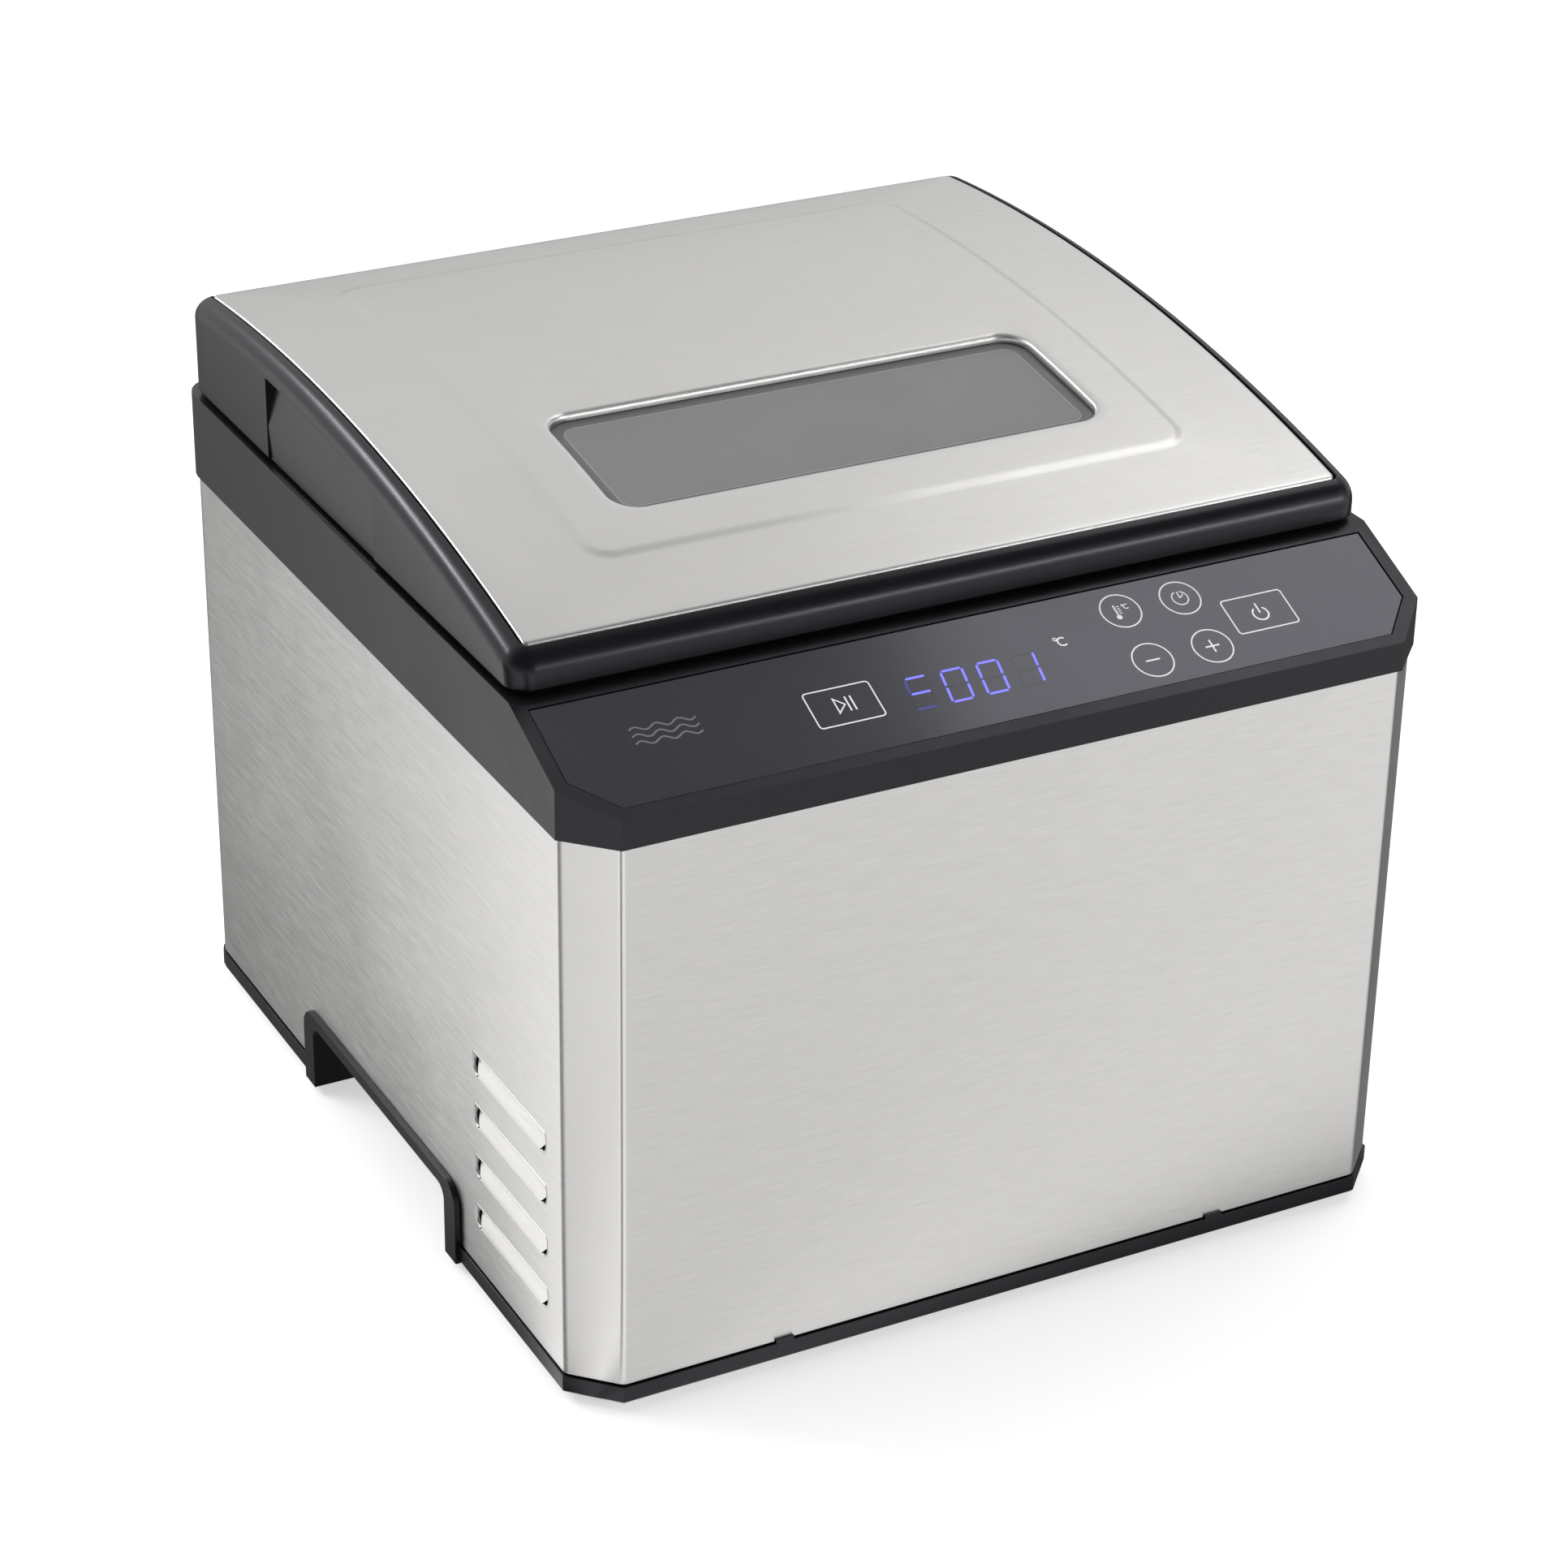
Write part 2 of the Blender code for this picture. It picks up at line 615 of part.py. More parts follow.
def make_control_panel(mats):
    """Glossy overlay, the board under it and the four-digit display between them."""
    slope = fascia_frame()
    add_piece("control_overlay", moved(prism(overlay_outline(0.0), -1.5, -GAP), slope), mats["overlay_gloss"])
    board = moved(prism(rounded_rect(-112, 127, 7, 45, 1.5, 2), -13.0, -11.4), slope)
    board = add_piece("control_board", board, mats["board_green"])
    holes = []
    for x, s in control_boss_places():
        holes.append(moved(placed(turned([(1.8, -20), (1.8, 0)], 10), x, s, 0), slope))
    cut(board, joined(holes), "holes")
    module = rounded_rect(DISPLAY_LEFT, DISPLAY_RIGHT, DISPLAY_LOW, DISPLAY_HIGH, 0.5, 1)
    add_piece("display_module", moved(prism(module, -11.1, -1.8), slope), mats["display"])


# ---------------------------------------------------------------- tank and heater
def tank_loop(inset, z):
    r = max(TANK_RADIUS - inset, 3.0)
    half = TANK_HALF_WIDTH - inset
    points = rounded_rect(-half, half, TANK_FRONT + inset, TANK_REAR - inset, r, 5)
    return at_height(points, z)


def make_inner_tank(mats):
    """Deep-drawn stainless tank with a flat flange that lies on the deck."""
    flange_z = DECK_TOP + GAP
    bend = 12.0
    loops = []
    for a in (90, 60, 30, 0):
        c = math.cos(math.radians(a))
        s = math.sin(math.radians(a))
        loops.append(tank_loop(bend * (1 - c), TANK_FLOOR + bend * (1 - s)))
    loops.append(tank_loop(0.0, flange_z + TANK_SHEET))
    loops.append(tank_loop(-TANK_FLANGE, flange_z + TANK_SHEET))
    loops.append(tank_loop(-TANK_FLANGE, flange_z))
    loops.append(tank_loop(-TANK_SHEET, flange_z))
    for a in (0, 30, 60, 90):
        c = math.cos(math.radians(a))
        s = math.sin(math.radians(a))
        outer = bend + TANK_SHEET
        loops.append(tank_loop(outer * (1 - c) - TANK_SHEET, TANK_FLOOR - TANK_SHEET + outer * (1 - s)))
    return add_piece("inner_tank", loft(loops), mats["tank_steel"], smooth=True)


HEATER_CENTRE_Y = 25.0


def make_heater(mats):
    """Cast plate pressed on the tank's floor, with a bent tubular element under it."""
    top = TANK_FLOOR - TANK_SHEET - GAP
    plate = prism(rounded_rect(-98, 98, HEATER_CENTRE_Y - 88, HEATER_CENTRE_Y + 88, 18, 4), top - 6, top)
    add_piece("heater_plate", plate, mats["aluminium"])
    z = top - 6 - GAP - 4.0
    turn_r = 22.0
    xs = [-66.0, -22.0, 22.0, 66.0]
    low = HEATER_CENTRE_Y - 58
    high = HEATER_CENTRE_Y + 58
    path = [(xs[0], low - 45, z), (xs[0], low, z), (xs[0], high, z)]
    path += [(x, y, z) for x, y in arc(-44, high, turn_r, 180, 0, 6)[1:]]
    path += [(x, y, z) for x, y in arc(0, low, turn_r, 180, 360, 6)]
    path += [(x, y, z) for x, y in arc(44, high, turn_r, 180, 0, 6)]
    path += [(xs[3], low, z), (xs[3], low - 45, z)]
    add_piece("heating_element", swept(path, 4.0, 8), mats["core_steel"], smooth=True)
    for side, name in ((-1, "heater_bracket_left"), (1, "heater_bracket_right")):
        make_heater_bracket(mats, side, name, z - 4.0 - GAP)


def make_heater_bracket(mats, side, name, top):
    """Z-shaped sheet bracket standing on the tray and carrying the heater."""
    t = 1.5
    foot = FOOT_STAND + 3.0 + GAP
    section = [(114, foot), (114, foot + t), (95, foot + t), (95, top), (78, top), (78, top - t)]
    section += [(95 - t, top - t), (95 - t, foot)]
    bracket = prism_y([(side * x, z) for x, z in section], HEATER_CENTRE_Y - 70, HEATER_CENTRE_Y + 70)
    obj = add_piece(name, bracket, mats["zinc_sheet"])
    own_side = [place for place in base_screw_places() if place[0] * side > 0]
    holes = [placed(turned([(1.7, 0), (1.7, 20)], 10), x, y, 0) for x, y in own_side]
    cut(obj, joined(holes), "holes")


def make_tank_sensors(mats):
    """Probe and its clip, and the resettable cut-out, on the tank's front wall."""
    wall = TANK_FRONT - TANK_SHEET
    probe = turned([(1.2, 84), (3.0, 86), (3.0, 118), (2.0, 119), (2.0, 128)], 12)
    add_piece("temperature_probe", placed(probe, 42, wall - GAP - 4.4, 0), mats["tank_steel"], smooth=True)
    jaw = arc(0, 0, 4.4, 140, 400, 10) + arc(0, 0, 3.3, 400, 140, 10)
    add_piece("probe_clip", placed(prism(jaw, 94, 108), 42, wall - GAP - 4.4, 0), mats["zinc_sheet"])
    disc = placed(bore_y(8.0, wall - 8.5, wall - GAP, 16), -42, 0, 92)
    can = add_piece("thermal_cutout", disc, mats["component_dark"])
    tabs = [box(-42 + dx - 3, -42 + dx + 3, wall - 17, wall - 8, 91.6, 92.4) for dx in (-4.5, 4.5)]
    fuse(can, joined(tabs), "tabs")


def make_power_electronics(mats):
    """Upright power board behind the front wall, on its sheet bracket, next to the louvres."""
    y_plate = -163.0
    t = 1.2
    foot = FOOT_STAND + 3.0 + GAP
    section = [(y_plate, foot), (y_plate + 15, foot), (y_plate + 15, foot + t), (y_plate + t, foot + t)]
    section += [(y_plate + t, 128), (y_plate, 128)]
    add_piece("board_bracket", prism_x(section, -112, 112), mats["zinc_sheet"])
    y_board = y_plate + t + 6
    board = prism_y(rounded_rect(-106, 106, 32, 122, 1, 1), y_board, y_board + 1.6)
    add_piece("power_board", board, mats["board_green"])
    y = y_board + 1.6 + GAP
    core = add_piece("transformer", box(-92, -52, y, y + 30, 44, 78), mats["core_steel"])
    fuse(core, box(-86, -58, y - 0.05, y + 36, 50, 72), "winding")
    add_piece("power_relay", box(-34, -6, y, y + 16, 50, 70), mats["component_blue"])
    can = turned([(8.5, 0), (9, 0.8), (9, 26), (8.2, 27)], 16)
    can = moved(can, Matrix.Rotation(math.radians(-90), 4, "X"))
    add_piece("capacitor", placed(can, 18, y, 60), mats["component_dark"], smooth=True)
    sink = add_piece("heat_sink", box(42, 94, y, y + 4, 44, 96), mats["aluminium"])
    fins = [box(x - 0.9, x + 0.9, y + 3.5, y + 22, 44.4, 95.6) for x in range(45, 93, 9)]
    fuse(sink, joined(fins), "fins")


# ---------------------------------------------------------------- lid
def quarter_drop(distance, radius):
    """How far a rounded edge has fallen at a distance in from its outside."""
    if distance >= radius:
        return 0.0
    reach = radius - max(distance, 0.0)
    return radius - math.sqrt(max(radius * radius - reach * reach, 0.0))


def crown(y):
    """Height of the lid's middle line: a long arc, then a tight roll down the back."""
    centre_y = LID_REAR - REAR_ROLL
    lean = (centre_y - LID_ARC_Y) / (LID_ARC_R - REAR_ROLL)
    arc_z = LID_CREST - LID_ARC_R
    if y <= LID_ARC_Y + LID_ARC_R * lean:
        return arc_z + math.sqrt(LID_ARC_R ** 2 - (y - LID_ARC_Y) ** 2)
    centre_z = arc_z + (LID_ARC_R - REAR_ROLL) * math.sqrt(1 - lean * lean)
    return centre_z + math.sqrt(max(REAR_ROLL ** 2 - (y - centre_y) ** 2, 0.0))


def plan_loop(x0, x1, y0, y1, r_front, r_rear, corner=4, sides=10):
    """Rounded rectangle with extra points down its two sides, so that it can follow the crown."""
    run = (y1 - r_rear) - (y0 + r_front)
    steps = [y0 + r_front + run * i / sides for i in range(1, sides)]
    points = arc(x1 - r_rear, y1 - r_rear, r_rear, 0, 90, corner)
    points += arc(x0 + r_rear, y1 - r_rear, r_rear, 90, 180, corner)
    points += [(x0, y) for y in reversed(steps)]
    points += arc(x0 + r_front, y0 + r_front, r_front, 180, 270, corner)
    points += arc(x1 - r_front, y0 + r_front, r_front, 270, 360, corner)
    points += [(x1, y) for y in steps]
    return points


def rim_share(corner=4, sides=10):
    """How much of the side rounding each outline point takes: all of it, but none at the back."""
    turn = [math.cos(math.radians(90 * i / corner)) ** 2 for i in range(corner + 1)]
    return turn + list(reversed(turn)) + [1.0] * (2 * (corner + 1) + 2 * (sides - 1))


def lid_outline(inset):
    front_r = max(FRONT_PLAN_R - inset, 1.5)
    rear_r = max(REAR_PLAN_R - inset, 3.0)
    return plan_loop(-LID_HALF_WIDTH + inset, LID_HALF_WIDTH - inset, LID_FRONT + inset, LID_REAR - inset,
                     front_r, rear_r)


def lid_loop(inset, sink=0.0):
    """The lid's surface along a line that stays one distance in from its outline."""
    drop = quarter_drop(inset, RIM_ROLL)
    return [(x, y, crown(y) - drop * share - sink) for (x, y), share in zip(lid_outline(inset), rim_share())]


def make_lid_frame(mats, lid):
    """Black moulded lid body: skirt, rolled rim, seat for the steel skin and two side grips."""
    loops = [at_height(lid_outline(0.6), LID_BOTTOM), at_height(lid_outline(0.0), LID_BOTTOM + 0.8)]
    for angle in (0, 22, 44, 62):
        loops.append(lid_loop(RIM_ROLL * (1 - math.cos(math.radians(angle)))))
    loops.append(lid_loop(RIM_WIDTH))
    loops.append(lid_loop(RIM_WIDTH + 0.01, SEAT_SINK))
    loops.append(lid_loop(LEDGE_REACH, SEAT_SINK))
    loops.append(lid_loop(LEDGE_REACH, SEAT_SINK + 2.4))
    loops.append(lid_loop(LID_WALL, SEAT_SINK + 0.7))
    loops.append(at_height(lid_outline(LID_WALL), LID_BOTTOM))
    frame = add_piece("lid_frame", loft(loops, ring=True), mats["black_plastic"], lid, smooth=True)
    backing = mirrored_pair(lambda: grip_block(-161.6, -157.4, GRIP_FRONT - 5, GRIP_REAR + 5))
    fuse(frame, joined(backing), "grip_backing")
    cut(frame, joined(mirrored_pair(grip_hollow)), "grips")
    bosses = []
    for x, y in liner_screw_places():
        bosses.append(placed(turned([(4.2, LID_BOTTOM + 5.5), (4.2, crown(y) - 4.2)], 12), x, y, 0))
    fuse(frame, joined(bosses), "bosses")
    holes = []
    for x, y in liner_screw_places():
        holes.append(placed(turned([(1.7, LID_BOTTOM), (1.7, LID_BOTTOM + 11)], 8), x, y, 0))
    cut(frame, joined(holes), "screw_holes")
    return frame


def grip_block(x0, x1, y0, y1):
    """Thicker wall behind a grip, let into the ledge above it."""
    loops = []
    steps = 6
    for i in range(steps + 1):
        y = y0 + (y1 - y0) * i / steps
        top = crown(y) - SEAT_SINK - 1.4
        low = LID_BOTTOM + 0.4
        loops.append([(x0, y, low), (x1, y, low), (x1, y, top), (x0, y, top)])
    return loft(loops)


def grip_hollow():
    """Two shallow facets meeting on a crease, cut in the left side for the fingers."""
    loops = []
    steps = 6
    skin = -LID_HALF_WIDTH
    for i in range(steps + 1):
        y = GRIP_FRONT + (GRIP_REAR - GRIP_FRONT) * i / steps
        top = crown(y) - RIM_ROLL - 0.5
        deep = 0.3 + (top - GRIP_CREASE_Z) * 0.19
        low = LID_BOTTOM - 3
        ring = [(skin - 3, y, low), (skin + 1.2, y, low), (skin + 0.3, y, GRIP_CREASE_Z)]
        loops.append(ring + [(skin + deep, y, top), (skin - 3, y, top)])
    return loft(loops)


def emboss_loop(grow, raise_by):
    points = plan_loop(-EMBOSS_HALF_WIDTH - grow, EMBOSS_HALF_WIDTH + grow,
                       EMBOSS_FRONT - grow, EMBOSS_REAR + grow,
                       EMBOSS_RADIUS + grow, EMBOSS_RADIUS + grow)
    return [(x, y, crown(y) + raise_by) for x, y in points]


def window_loop(grow, raise_by):
    points = plan_loop(-WINDOW_HALF_WIDTH - grow, WINDOW_HALF_WIDTH + grow,
                       WINDOW_FRONT - grow, WINDOW_REAR + grow,
                       WINDOW_RADIUS + grow, WINDOW_RADIUS + grow)
    return [(x, y, crown(y) + raise_by) for x, y in points]


def between(outer, inner, share, raise_by):
    """Loop part of the way from one outline to another, laid back on the crown."""
    result = []
    for a, b in zip(outer, inner):
        x = a[0] + (b[0] - a[0]) * share
        y = a[1] + (b[1] - a[1]) * share
        result.append((x, y, crown(y) + raise_by))
    return result


def make_lid_skin(mats, lid):
    """Brushed steel sheet over the crown: rolled edge, raised field and turned-down window rim."""
    up = EMBOSS_RAISE
    under = -SKIN_SHEET
    edge = RIM_WIDTH + GAP + 0.1
    top = [lid_loop(edge, 2.0), lid_loop(edge + 0.5, 0.6), lid_loop(edge + 1.7, 0.0)]
    top += [lid_loop(edge + 5.0), lid_loop(edge + 9.0), emboss_loop(EMBOSS_SOFT, 0.0)]
    field = emboss_loop(-EMBOSS_SOFT, up)
    rim = window_loop(2.0, up)
    top += [field] + [between(field, rim, share, up) for share in (0.25, 0.5, 0.75)]
    top += [rim, window_loop(0.6, up - 0.4), window_loop(0.0, up - 1.8), window_loop(0.0, -WINDOW_FLANGE)]
    low = [window_loop(0.8, -WINDOW_FLANGE), window_loop(0.8, up - 2.0), window_loop(2.4, up + under)]
    low += [between(field, rim, share, up + under) for share in (0.75, 0.5, 0.25)]
    low += [emboss_loop(-EMBOSS_SOFT - 0.2, up + under), emboss_loop(EMBOSS_SOFT - 0.2, under)]
    low += [lid_loop(edge + 9.0, SKIN_SHEET), lid_loop(edge + 2.0, SKIN_SHEET), lid_loop(edge + 0.8, 1.9)]
    low += [lid_loop(edge + 0.8, 2.7), lid_loop(edge, 2.7)]
    return add_piece("lid_skin", loft(top + low, ring=True), mats["brushed_steel"], lid, smooth=True)


def pane_height(y):
    """Top face of the flat window pane, under the turned-down flange."""
    front_z = crown(WINDOW_FRONT)
    slope = (crown(WINDOW_REAR) - front_z) / (WINDOW_REAR - WINDOW_FRONT)
    return front_z + slope * (y - WINDOW_FRONT) - WINDOW_FLANGE - GAP


def pane_loop(grow, sink):
    points = rounded_rect(-WINDOW_HALF_WIDTH - grow, WINDOW_HALF_WIDTH + grow, WINDOW_FRONT - grow,
                          WINDOW_REAR + grow, WINDOW_RADIUS + grow, 4)
    return [(x, y, pane_height(y) - sink) for x, y in points]


def make_window(mats, lid):
    """Flat pane and the silicone gasket that it is held on."""
    glass = 4.0
    add_piece("window_glass", loft([pane_loop(6, glass), pane_loop(6, 0)]), mats["frosted_glass"], lid)
    top = glass + GAP
    ring = [pane_loop(6, top + 3), pane_loop(6, top), pane_loop(-5, top), pane_loop(-5, top + 3)]
    add_piece("window_gasket", loft(ring, ring=True), mats["silicone"], lid)


def liner_screw_places():
    return [(-150.0, -111.0), (150.0, -111.0), (-150.0, 157.0), (150.0, 157.0)]


def make_lid_liner(mats, lid):
    """Inner cover that closes the lid from below, with a tunnel up to the window."""
    low = LID_BOTTOM + 3.0
    high = low + 2.2
    edge = rounded_rect(-156.8, 156.8, LID_FRONT + 4, LID_REAR - 4.5, 5, 4, r_rear=10.5)
    tunnel_top = 4.0 + GAP + 3.0 + GAP
    outer = [(x, y) for x, y, _ in pane_loop(2, 0)]
    inner = [(x, y) for x, y, _ in pane_loop(-4, 0)]
    loops = [at_height(edge, low), at_height(edge, high), at_height(outer, high), pane_loop(2, tunnel_top)]
    loops += [pane_loop(-4, tunnel_top), at_height(inner, low)]
    liner = add_piece("lid_liner", loft(loops, ring=True), mats["liner_plastic"], lid)
    holes = [placed(turned([(1.9, low - 3), (1.9, high + 3)], 10), x, y, 0) for x, y in liner_screw_places()]
    cut(liner, joined(holes), "holes")
    seal_inner = rounded_rect(-125.5, 125.5, -95.5, 145.5, 31.5, 5)
    seal_outer = rounded_rect(-132.5, 132.5, -102.5, 152.5, 38.5, 5)
    seal_low = DECK_TOP + GAP + TANK_SHEET + GAP
    add_piece("lid_seal", tube_wall(seal_outer, seal_inner, seal_low, low - GAP), mats["silicone"], lid)
    for i, (x, y) in enumerate(liner_screw_places()):
        place = (x, y, low - GAP)
        add_screw(f"liner_screw_{i + 1}", place, (0, 0, 1), mats["zinc_sheet"], head_r=3.0, head_h=1.4,
                  shank_r=1.4, length=7.5, parent=lid)


# ---------------------------------------------------------------- pouch rack
RACK_HALF_X = 106.0
RACK_FRONT = -64.0
RACK_REAR = 114.0
GRILLE_TOP = TANK_FLOOR + 8.0
GRILLE_SHEET = 1.2
RACK_FOOT = GRILLE_TOP + GAP
RACK_DECK = RACK_FOOT + 8.0
DIVIDER_COUNT = 5
DIVIDER_TOP = 198.0
WIRE = 3.0


def windowed_panel_y(x0, x1, y, z0, z1, columns):
    """Flat ladder of square wire in the X-Z plane: a frame with upright bars."""
    panel = box(x0, x1, y - WIRE / 2, y + WIRE / 2, z0, z1)
    pitch = (x1 - x0 - WIRE) / columns
    gaps = []
    for i in range(columns):
        left = x0 + WIRE + i * pitch
        gaps.append(box(left, left + pitch - WIRE, y - WIRE, y + WIRE, z0 + WIRE, z1 - WIRE))
    return panel, joined(gaps)


def divider_places():
    first = RACK_FRONT + 14.0
    last = RACK_REAR - 14.0
    return [first + (last - first) * i / (DIVIDER_COUNT - 1) for i in range(DIVIDER_COUNT)]


def make_rack(mats, rack):
    """Stainless rack that keeps the pouches apart: grid base, five dividers and two handles."""
    base = box(-RACK_HALF_X, RACK_HALF_X, RACK_FRONT, RACK_REAR, RACK_DECK - WIRE, RACK_DECK)
    base = add_piece("rack_base", base, mats["tank_steel"], rack)
    columns = 7
    rows = 5
    pitch_x = (2 * RACK_HALF_X - WIRE) / columns
    pitch_y = (RACK_REAR - RACK_FRONT - WIRE) / rows
    gaps = []
    for i in range(columns):
        for j in range(rows):
            x = -RACK_HALF_X + WIRE + i * pitch_x
            y = RACK_FRONT + WIRE + j * pitch_y
            gap = box(0, pitch_x - WIRE, 0, pitch_y - WIRE, RACK_DECK - 2 * WIRE, RACK_DECK + WIRE)
            gaps.append(placed(gap, x, y, 0))
    cut(base, joined(gaps), "grid")
    feet = []
    for x in (-RACK_HALF_X + 1.6, RACK_HALF_X - 1.6):
        for y in (RACK_FRONT + 1.6, RACK_REAR - 1.6):
            feet.append(box(x - 1.4, x + 1.4, y - 1.4, y + 1.4, RACK_FOOT, RACK_DECK - 1))
    fuse(base, joined(feet), "feet")
    for i, y in enumerate(divider_places()):
        panel, gaps = windowed_panel_y(-97.0, 97.0, y, RACK_DECK + GAP, DIVIDER_TOP, 6)
        divider = add_piece(f"rack_divider_{i + 1}", panel, mats["tank_steel"], rack)
        cut(divider, gaps, "wires")
    for side, name in ((-1, "rack_handle_left"), (1, "rack_handle_right")):
        x = side * 102.0
        foot = RACK_DECK + GAP
        r = 20.0
        path = [(x, -8.0, foot), (x, -8.0, 205.0)]
        path += [(x, y, z) for y, z in arc(-8.0 + r, 205.0, r, 180, 90, 4)[1:]]
        path += [(x, y, z) for y, z in arc(58.0 - r, 205.0, r, 90, 0, 4)]
        path += [(x, 58.0, foot)]
        add_piece(name, swept(path, 2.2, 8), mats["tank_steel"], rack, smooth=True)


def make_bottom_grille(mats, grille):
    """Slotted stainless plate on four feet that keeps the rack and pouches off the hot floor."""
    plate = prism(rounded_rect(-112, 112, -82, 132, 20, 5), GRILLE_TOP - GRILLE_SHEET, GRILLE_TOP)
    obj = add_piece("bottom_grille", plate, mats["tank_steel"], grille)
    feet = []
    foot = [(3.0, TANK_FLOOR + GAP), (3.0, GRILLE_TOP - GRILLE_SHEET + 0.4)]
    for x in (-98.0, 98.0):
        for y in (-68.0, 118.0):
            feet.append(placed(turned(foot, 10), x, y, 0))
    fuse(obj, joined(feet), "feet")
    slots = []
    for i in range(5):
        for j in range(6):
            x = (i - 2) * 42.0
            y = 25.0 + (j - 2.5) * 30.0
            slots.append(box(x - 15, x + 15, y - 4, y + 4, GRILLE_TOP - 4, GRILLE_TOP + 2))
    cut(obj, joined(slots), "slots")


def make_control_screws(mats):
    slope = fascia_frame()
    out = slope.to_3x3() @ Vector((0, 0, 1))
    for i, (x, s) in enumerate(control_boss_places()):
        place = slope @ Vector((x, s, -13.0 - GAP))
        add_screw(f"control_screw_{i + 1}", place, out, mats["zinc_sheet"], head_r=2.6, head_h=1.4,
                  shank_r=1.2, length=6.0)


def build():
    clear_scene()
    mats = make_materials()
    lid = joint_empty("lid_axis", LID_TRAVEL_AXIS)
    rack = joint_empty("rack_axis", RACK_TRAVEL_AXIS)
    grille = joint_empty("grille_axis", GRILLE_TRAVEL_AXIS)
    make_base_tray(mats)
    make_feet(mats)
    make_base_screws(mats)
    make_outer_casing(mats)
    make_rear_cover(mats)
    make_power_inlet(mats)
    make_rear_screws(mats)
    make_top_frame(mats)
    make_control_panel(mats)
    make_control_screws(mats)
    make_inner_tank(mats)
    make_heater(mats)
    make_tank_sensors(mats)
    make_power_electronics(mats)
    make_lid_frame(mats, lid)
    make_lid_skin(mats, lid)
    make_window(mats, lid)
    make_lid_liner(mats, lid)
    make_rack(mats, rack)
    make_bottom_grille(mats, grille)


build()
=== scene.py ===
"""Visible model of a countertop sous vide water oven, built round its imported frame.

Laid out as an add-on and run as a script. Drawing sizes are millimetres; meshes are metres.
Frame: +X right, -Y front, +Z up, origin on the table under the middle of the footprint.
"""

import math

import bmesh
import bpy
from bpy.props import FloatProperty, FloatVectorProperty, IntProperty, PointerProperty
from mathutils import Matrix, Vector


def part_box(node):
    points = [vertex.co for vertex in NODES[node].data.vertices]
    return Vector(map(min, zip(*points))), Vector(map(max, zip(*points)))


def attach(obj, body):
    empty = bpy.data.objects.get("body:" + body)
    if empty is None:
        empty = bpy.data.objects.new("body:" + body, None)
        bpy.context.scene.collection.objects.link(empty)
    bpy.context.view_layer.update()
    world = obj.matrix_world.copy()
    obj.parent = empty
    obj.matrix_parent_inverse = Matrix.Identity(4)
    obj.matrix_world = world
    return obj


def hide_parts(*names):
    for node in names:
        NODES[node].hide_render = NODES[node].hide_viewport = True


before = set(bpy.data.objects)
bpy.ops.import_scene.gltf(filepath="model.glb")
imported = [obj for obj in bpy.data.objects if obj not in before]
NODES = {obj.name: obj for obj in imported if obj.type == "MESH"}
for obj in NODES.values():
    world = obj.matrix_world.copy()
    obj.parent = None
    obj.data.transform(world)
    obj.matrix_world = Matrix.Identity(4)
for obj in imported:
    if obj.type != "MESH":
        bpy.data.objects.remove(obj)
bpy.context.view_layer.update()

bl_info = {
    "name": "Water Oven Looks",
    "version": (1, 0, 0),
    "blender": (4, 5, 0),
    "location": "3D View > Sidebar > Water Oven",
    "description": "Builds the visible pieces of a sous vide water oven on its packed frame",
    "category": "Object",
}

MM = 0.001


def corners(node):
    """Lowest and highest corner of a frame node, in millimetres."""
    low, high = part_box(node)
    return low / MM, high / MM


LID_LOW, LID_HIGH = corners("lid_frame")
CASING_LOW, CASING_HIGH = corners("outer_casing")
TANK_LOW, TANK_HIGH = corners("inner_tank")
FRAME_LOW, FRAME_HIGH = corners("top_frame")


# ---------------------------------------------------------------- settings
def length(name, description, default):
    """A length setting, given in millimetres and kept in metres."""
    return FloatProperty(name=name, description=description, default=default * MM, min=0.0,
                         soft_max=1.0, unit="LENGTH", subtype="DISTANCE", precision=5)


def colour(name, description, default):
    return FloatVectorProperty(name=name, description=description, default=default, size=3,
                               min=0.0, max=1.0, subtype="COLOR")


class CasingSizes(bpy.types.PropertyGroup):
    sheet: length("Sheet", "Thickness of the folded steel wrap", 0.7)
    corner_cut: length("Corner cut", "Leg of the 45 degree cut on the two front corners", 15.23)
    bend: length("Bend radius", "Outside radius of the four front folds", 4.0)
    rear_radius: length("Rear radius", "Radius of the two rear corners", 12.7)
    louvre_pitch: length("Louvre pitch", "Height from one louvre to the next", 20.9)
    louvre_height: length("Louvre height", "Height of one pressed strip", 9.0)
    louvre_depth: length("Louvre depth", "How far the strip's top edge is pressed in", 3.6)
    louvre_low: length("Lowest louvre", "Height of the lowest strip's foot above the table", 28.4)
    louvre_count: IntProperty(name="Louvres", description="Strips on each side", default=4, min=1, max=8)


class LidSizes(bpy.types.PropertyGroup):
    rim_roll: length("Rim roll", "Radius rolled along the front and sides of the lid", 8.0)
    rear_roll: length("Rear roll", "Fuller radius along the back of the lid", 16.5)
    rim_width: length("Rim width", "Black rim seen round the steel sheet", 6.4)
    emboss_raise: length("Raised field", "Height of the field pressed up in the sheet", 0.9)
    emboss_soft: length("Field edge", "Half width of the soft edge round the field", 2.5)
    window_flange: length("Window flange", "Depth of the sheet's turned-down window edge", 2.0)
    border: length("Printed border", "Width of the grey border printed round the pane", 4.6)


class PanelSizes(bpy.types.PropertyGroup):
    line: length("Key line", "Width of the printed key outlines", 0.5)
    digit_width: length("Digit width", "Width of one display digit", 10.3)
    digit_height: length("Digit height", "Height of one display digit", 14.2)
    digit_bar: length("Digit bar", "Width of one lit bar", 0.9)


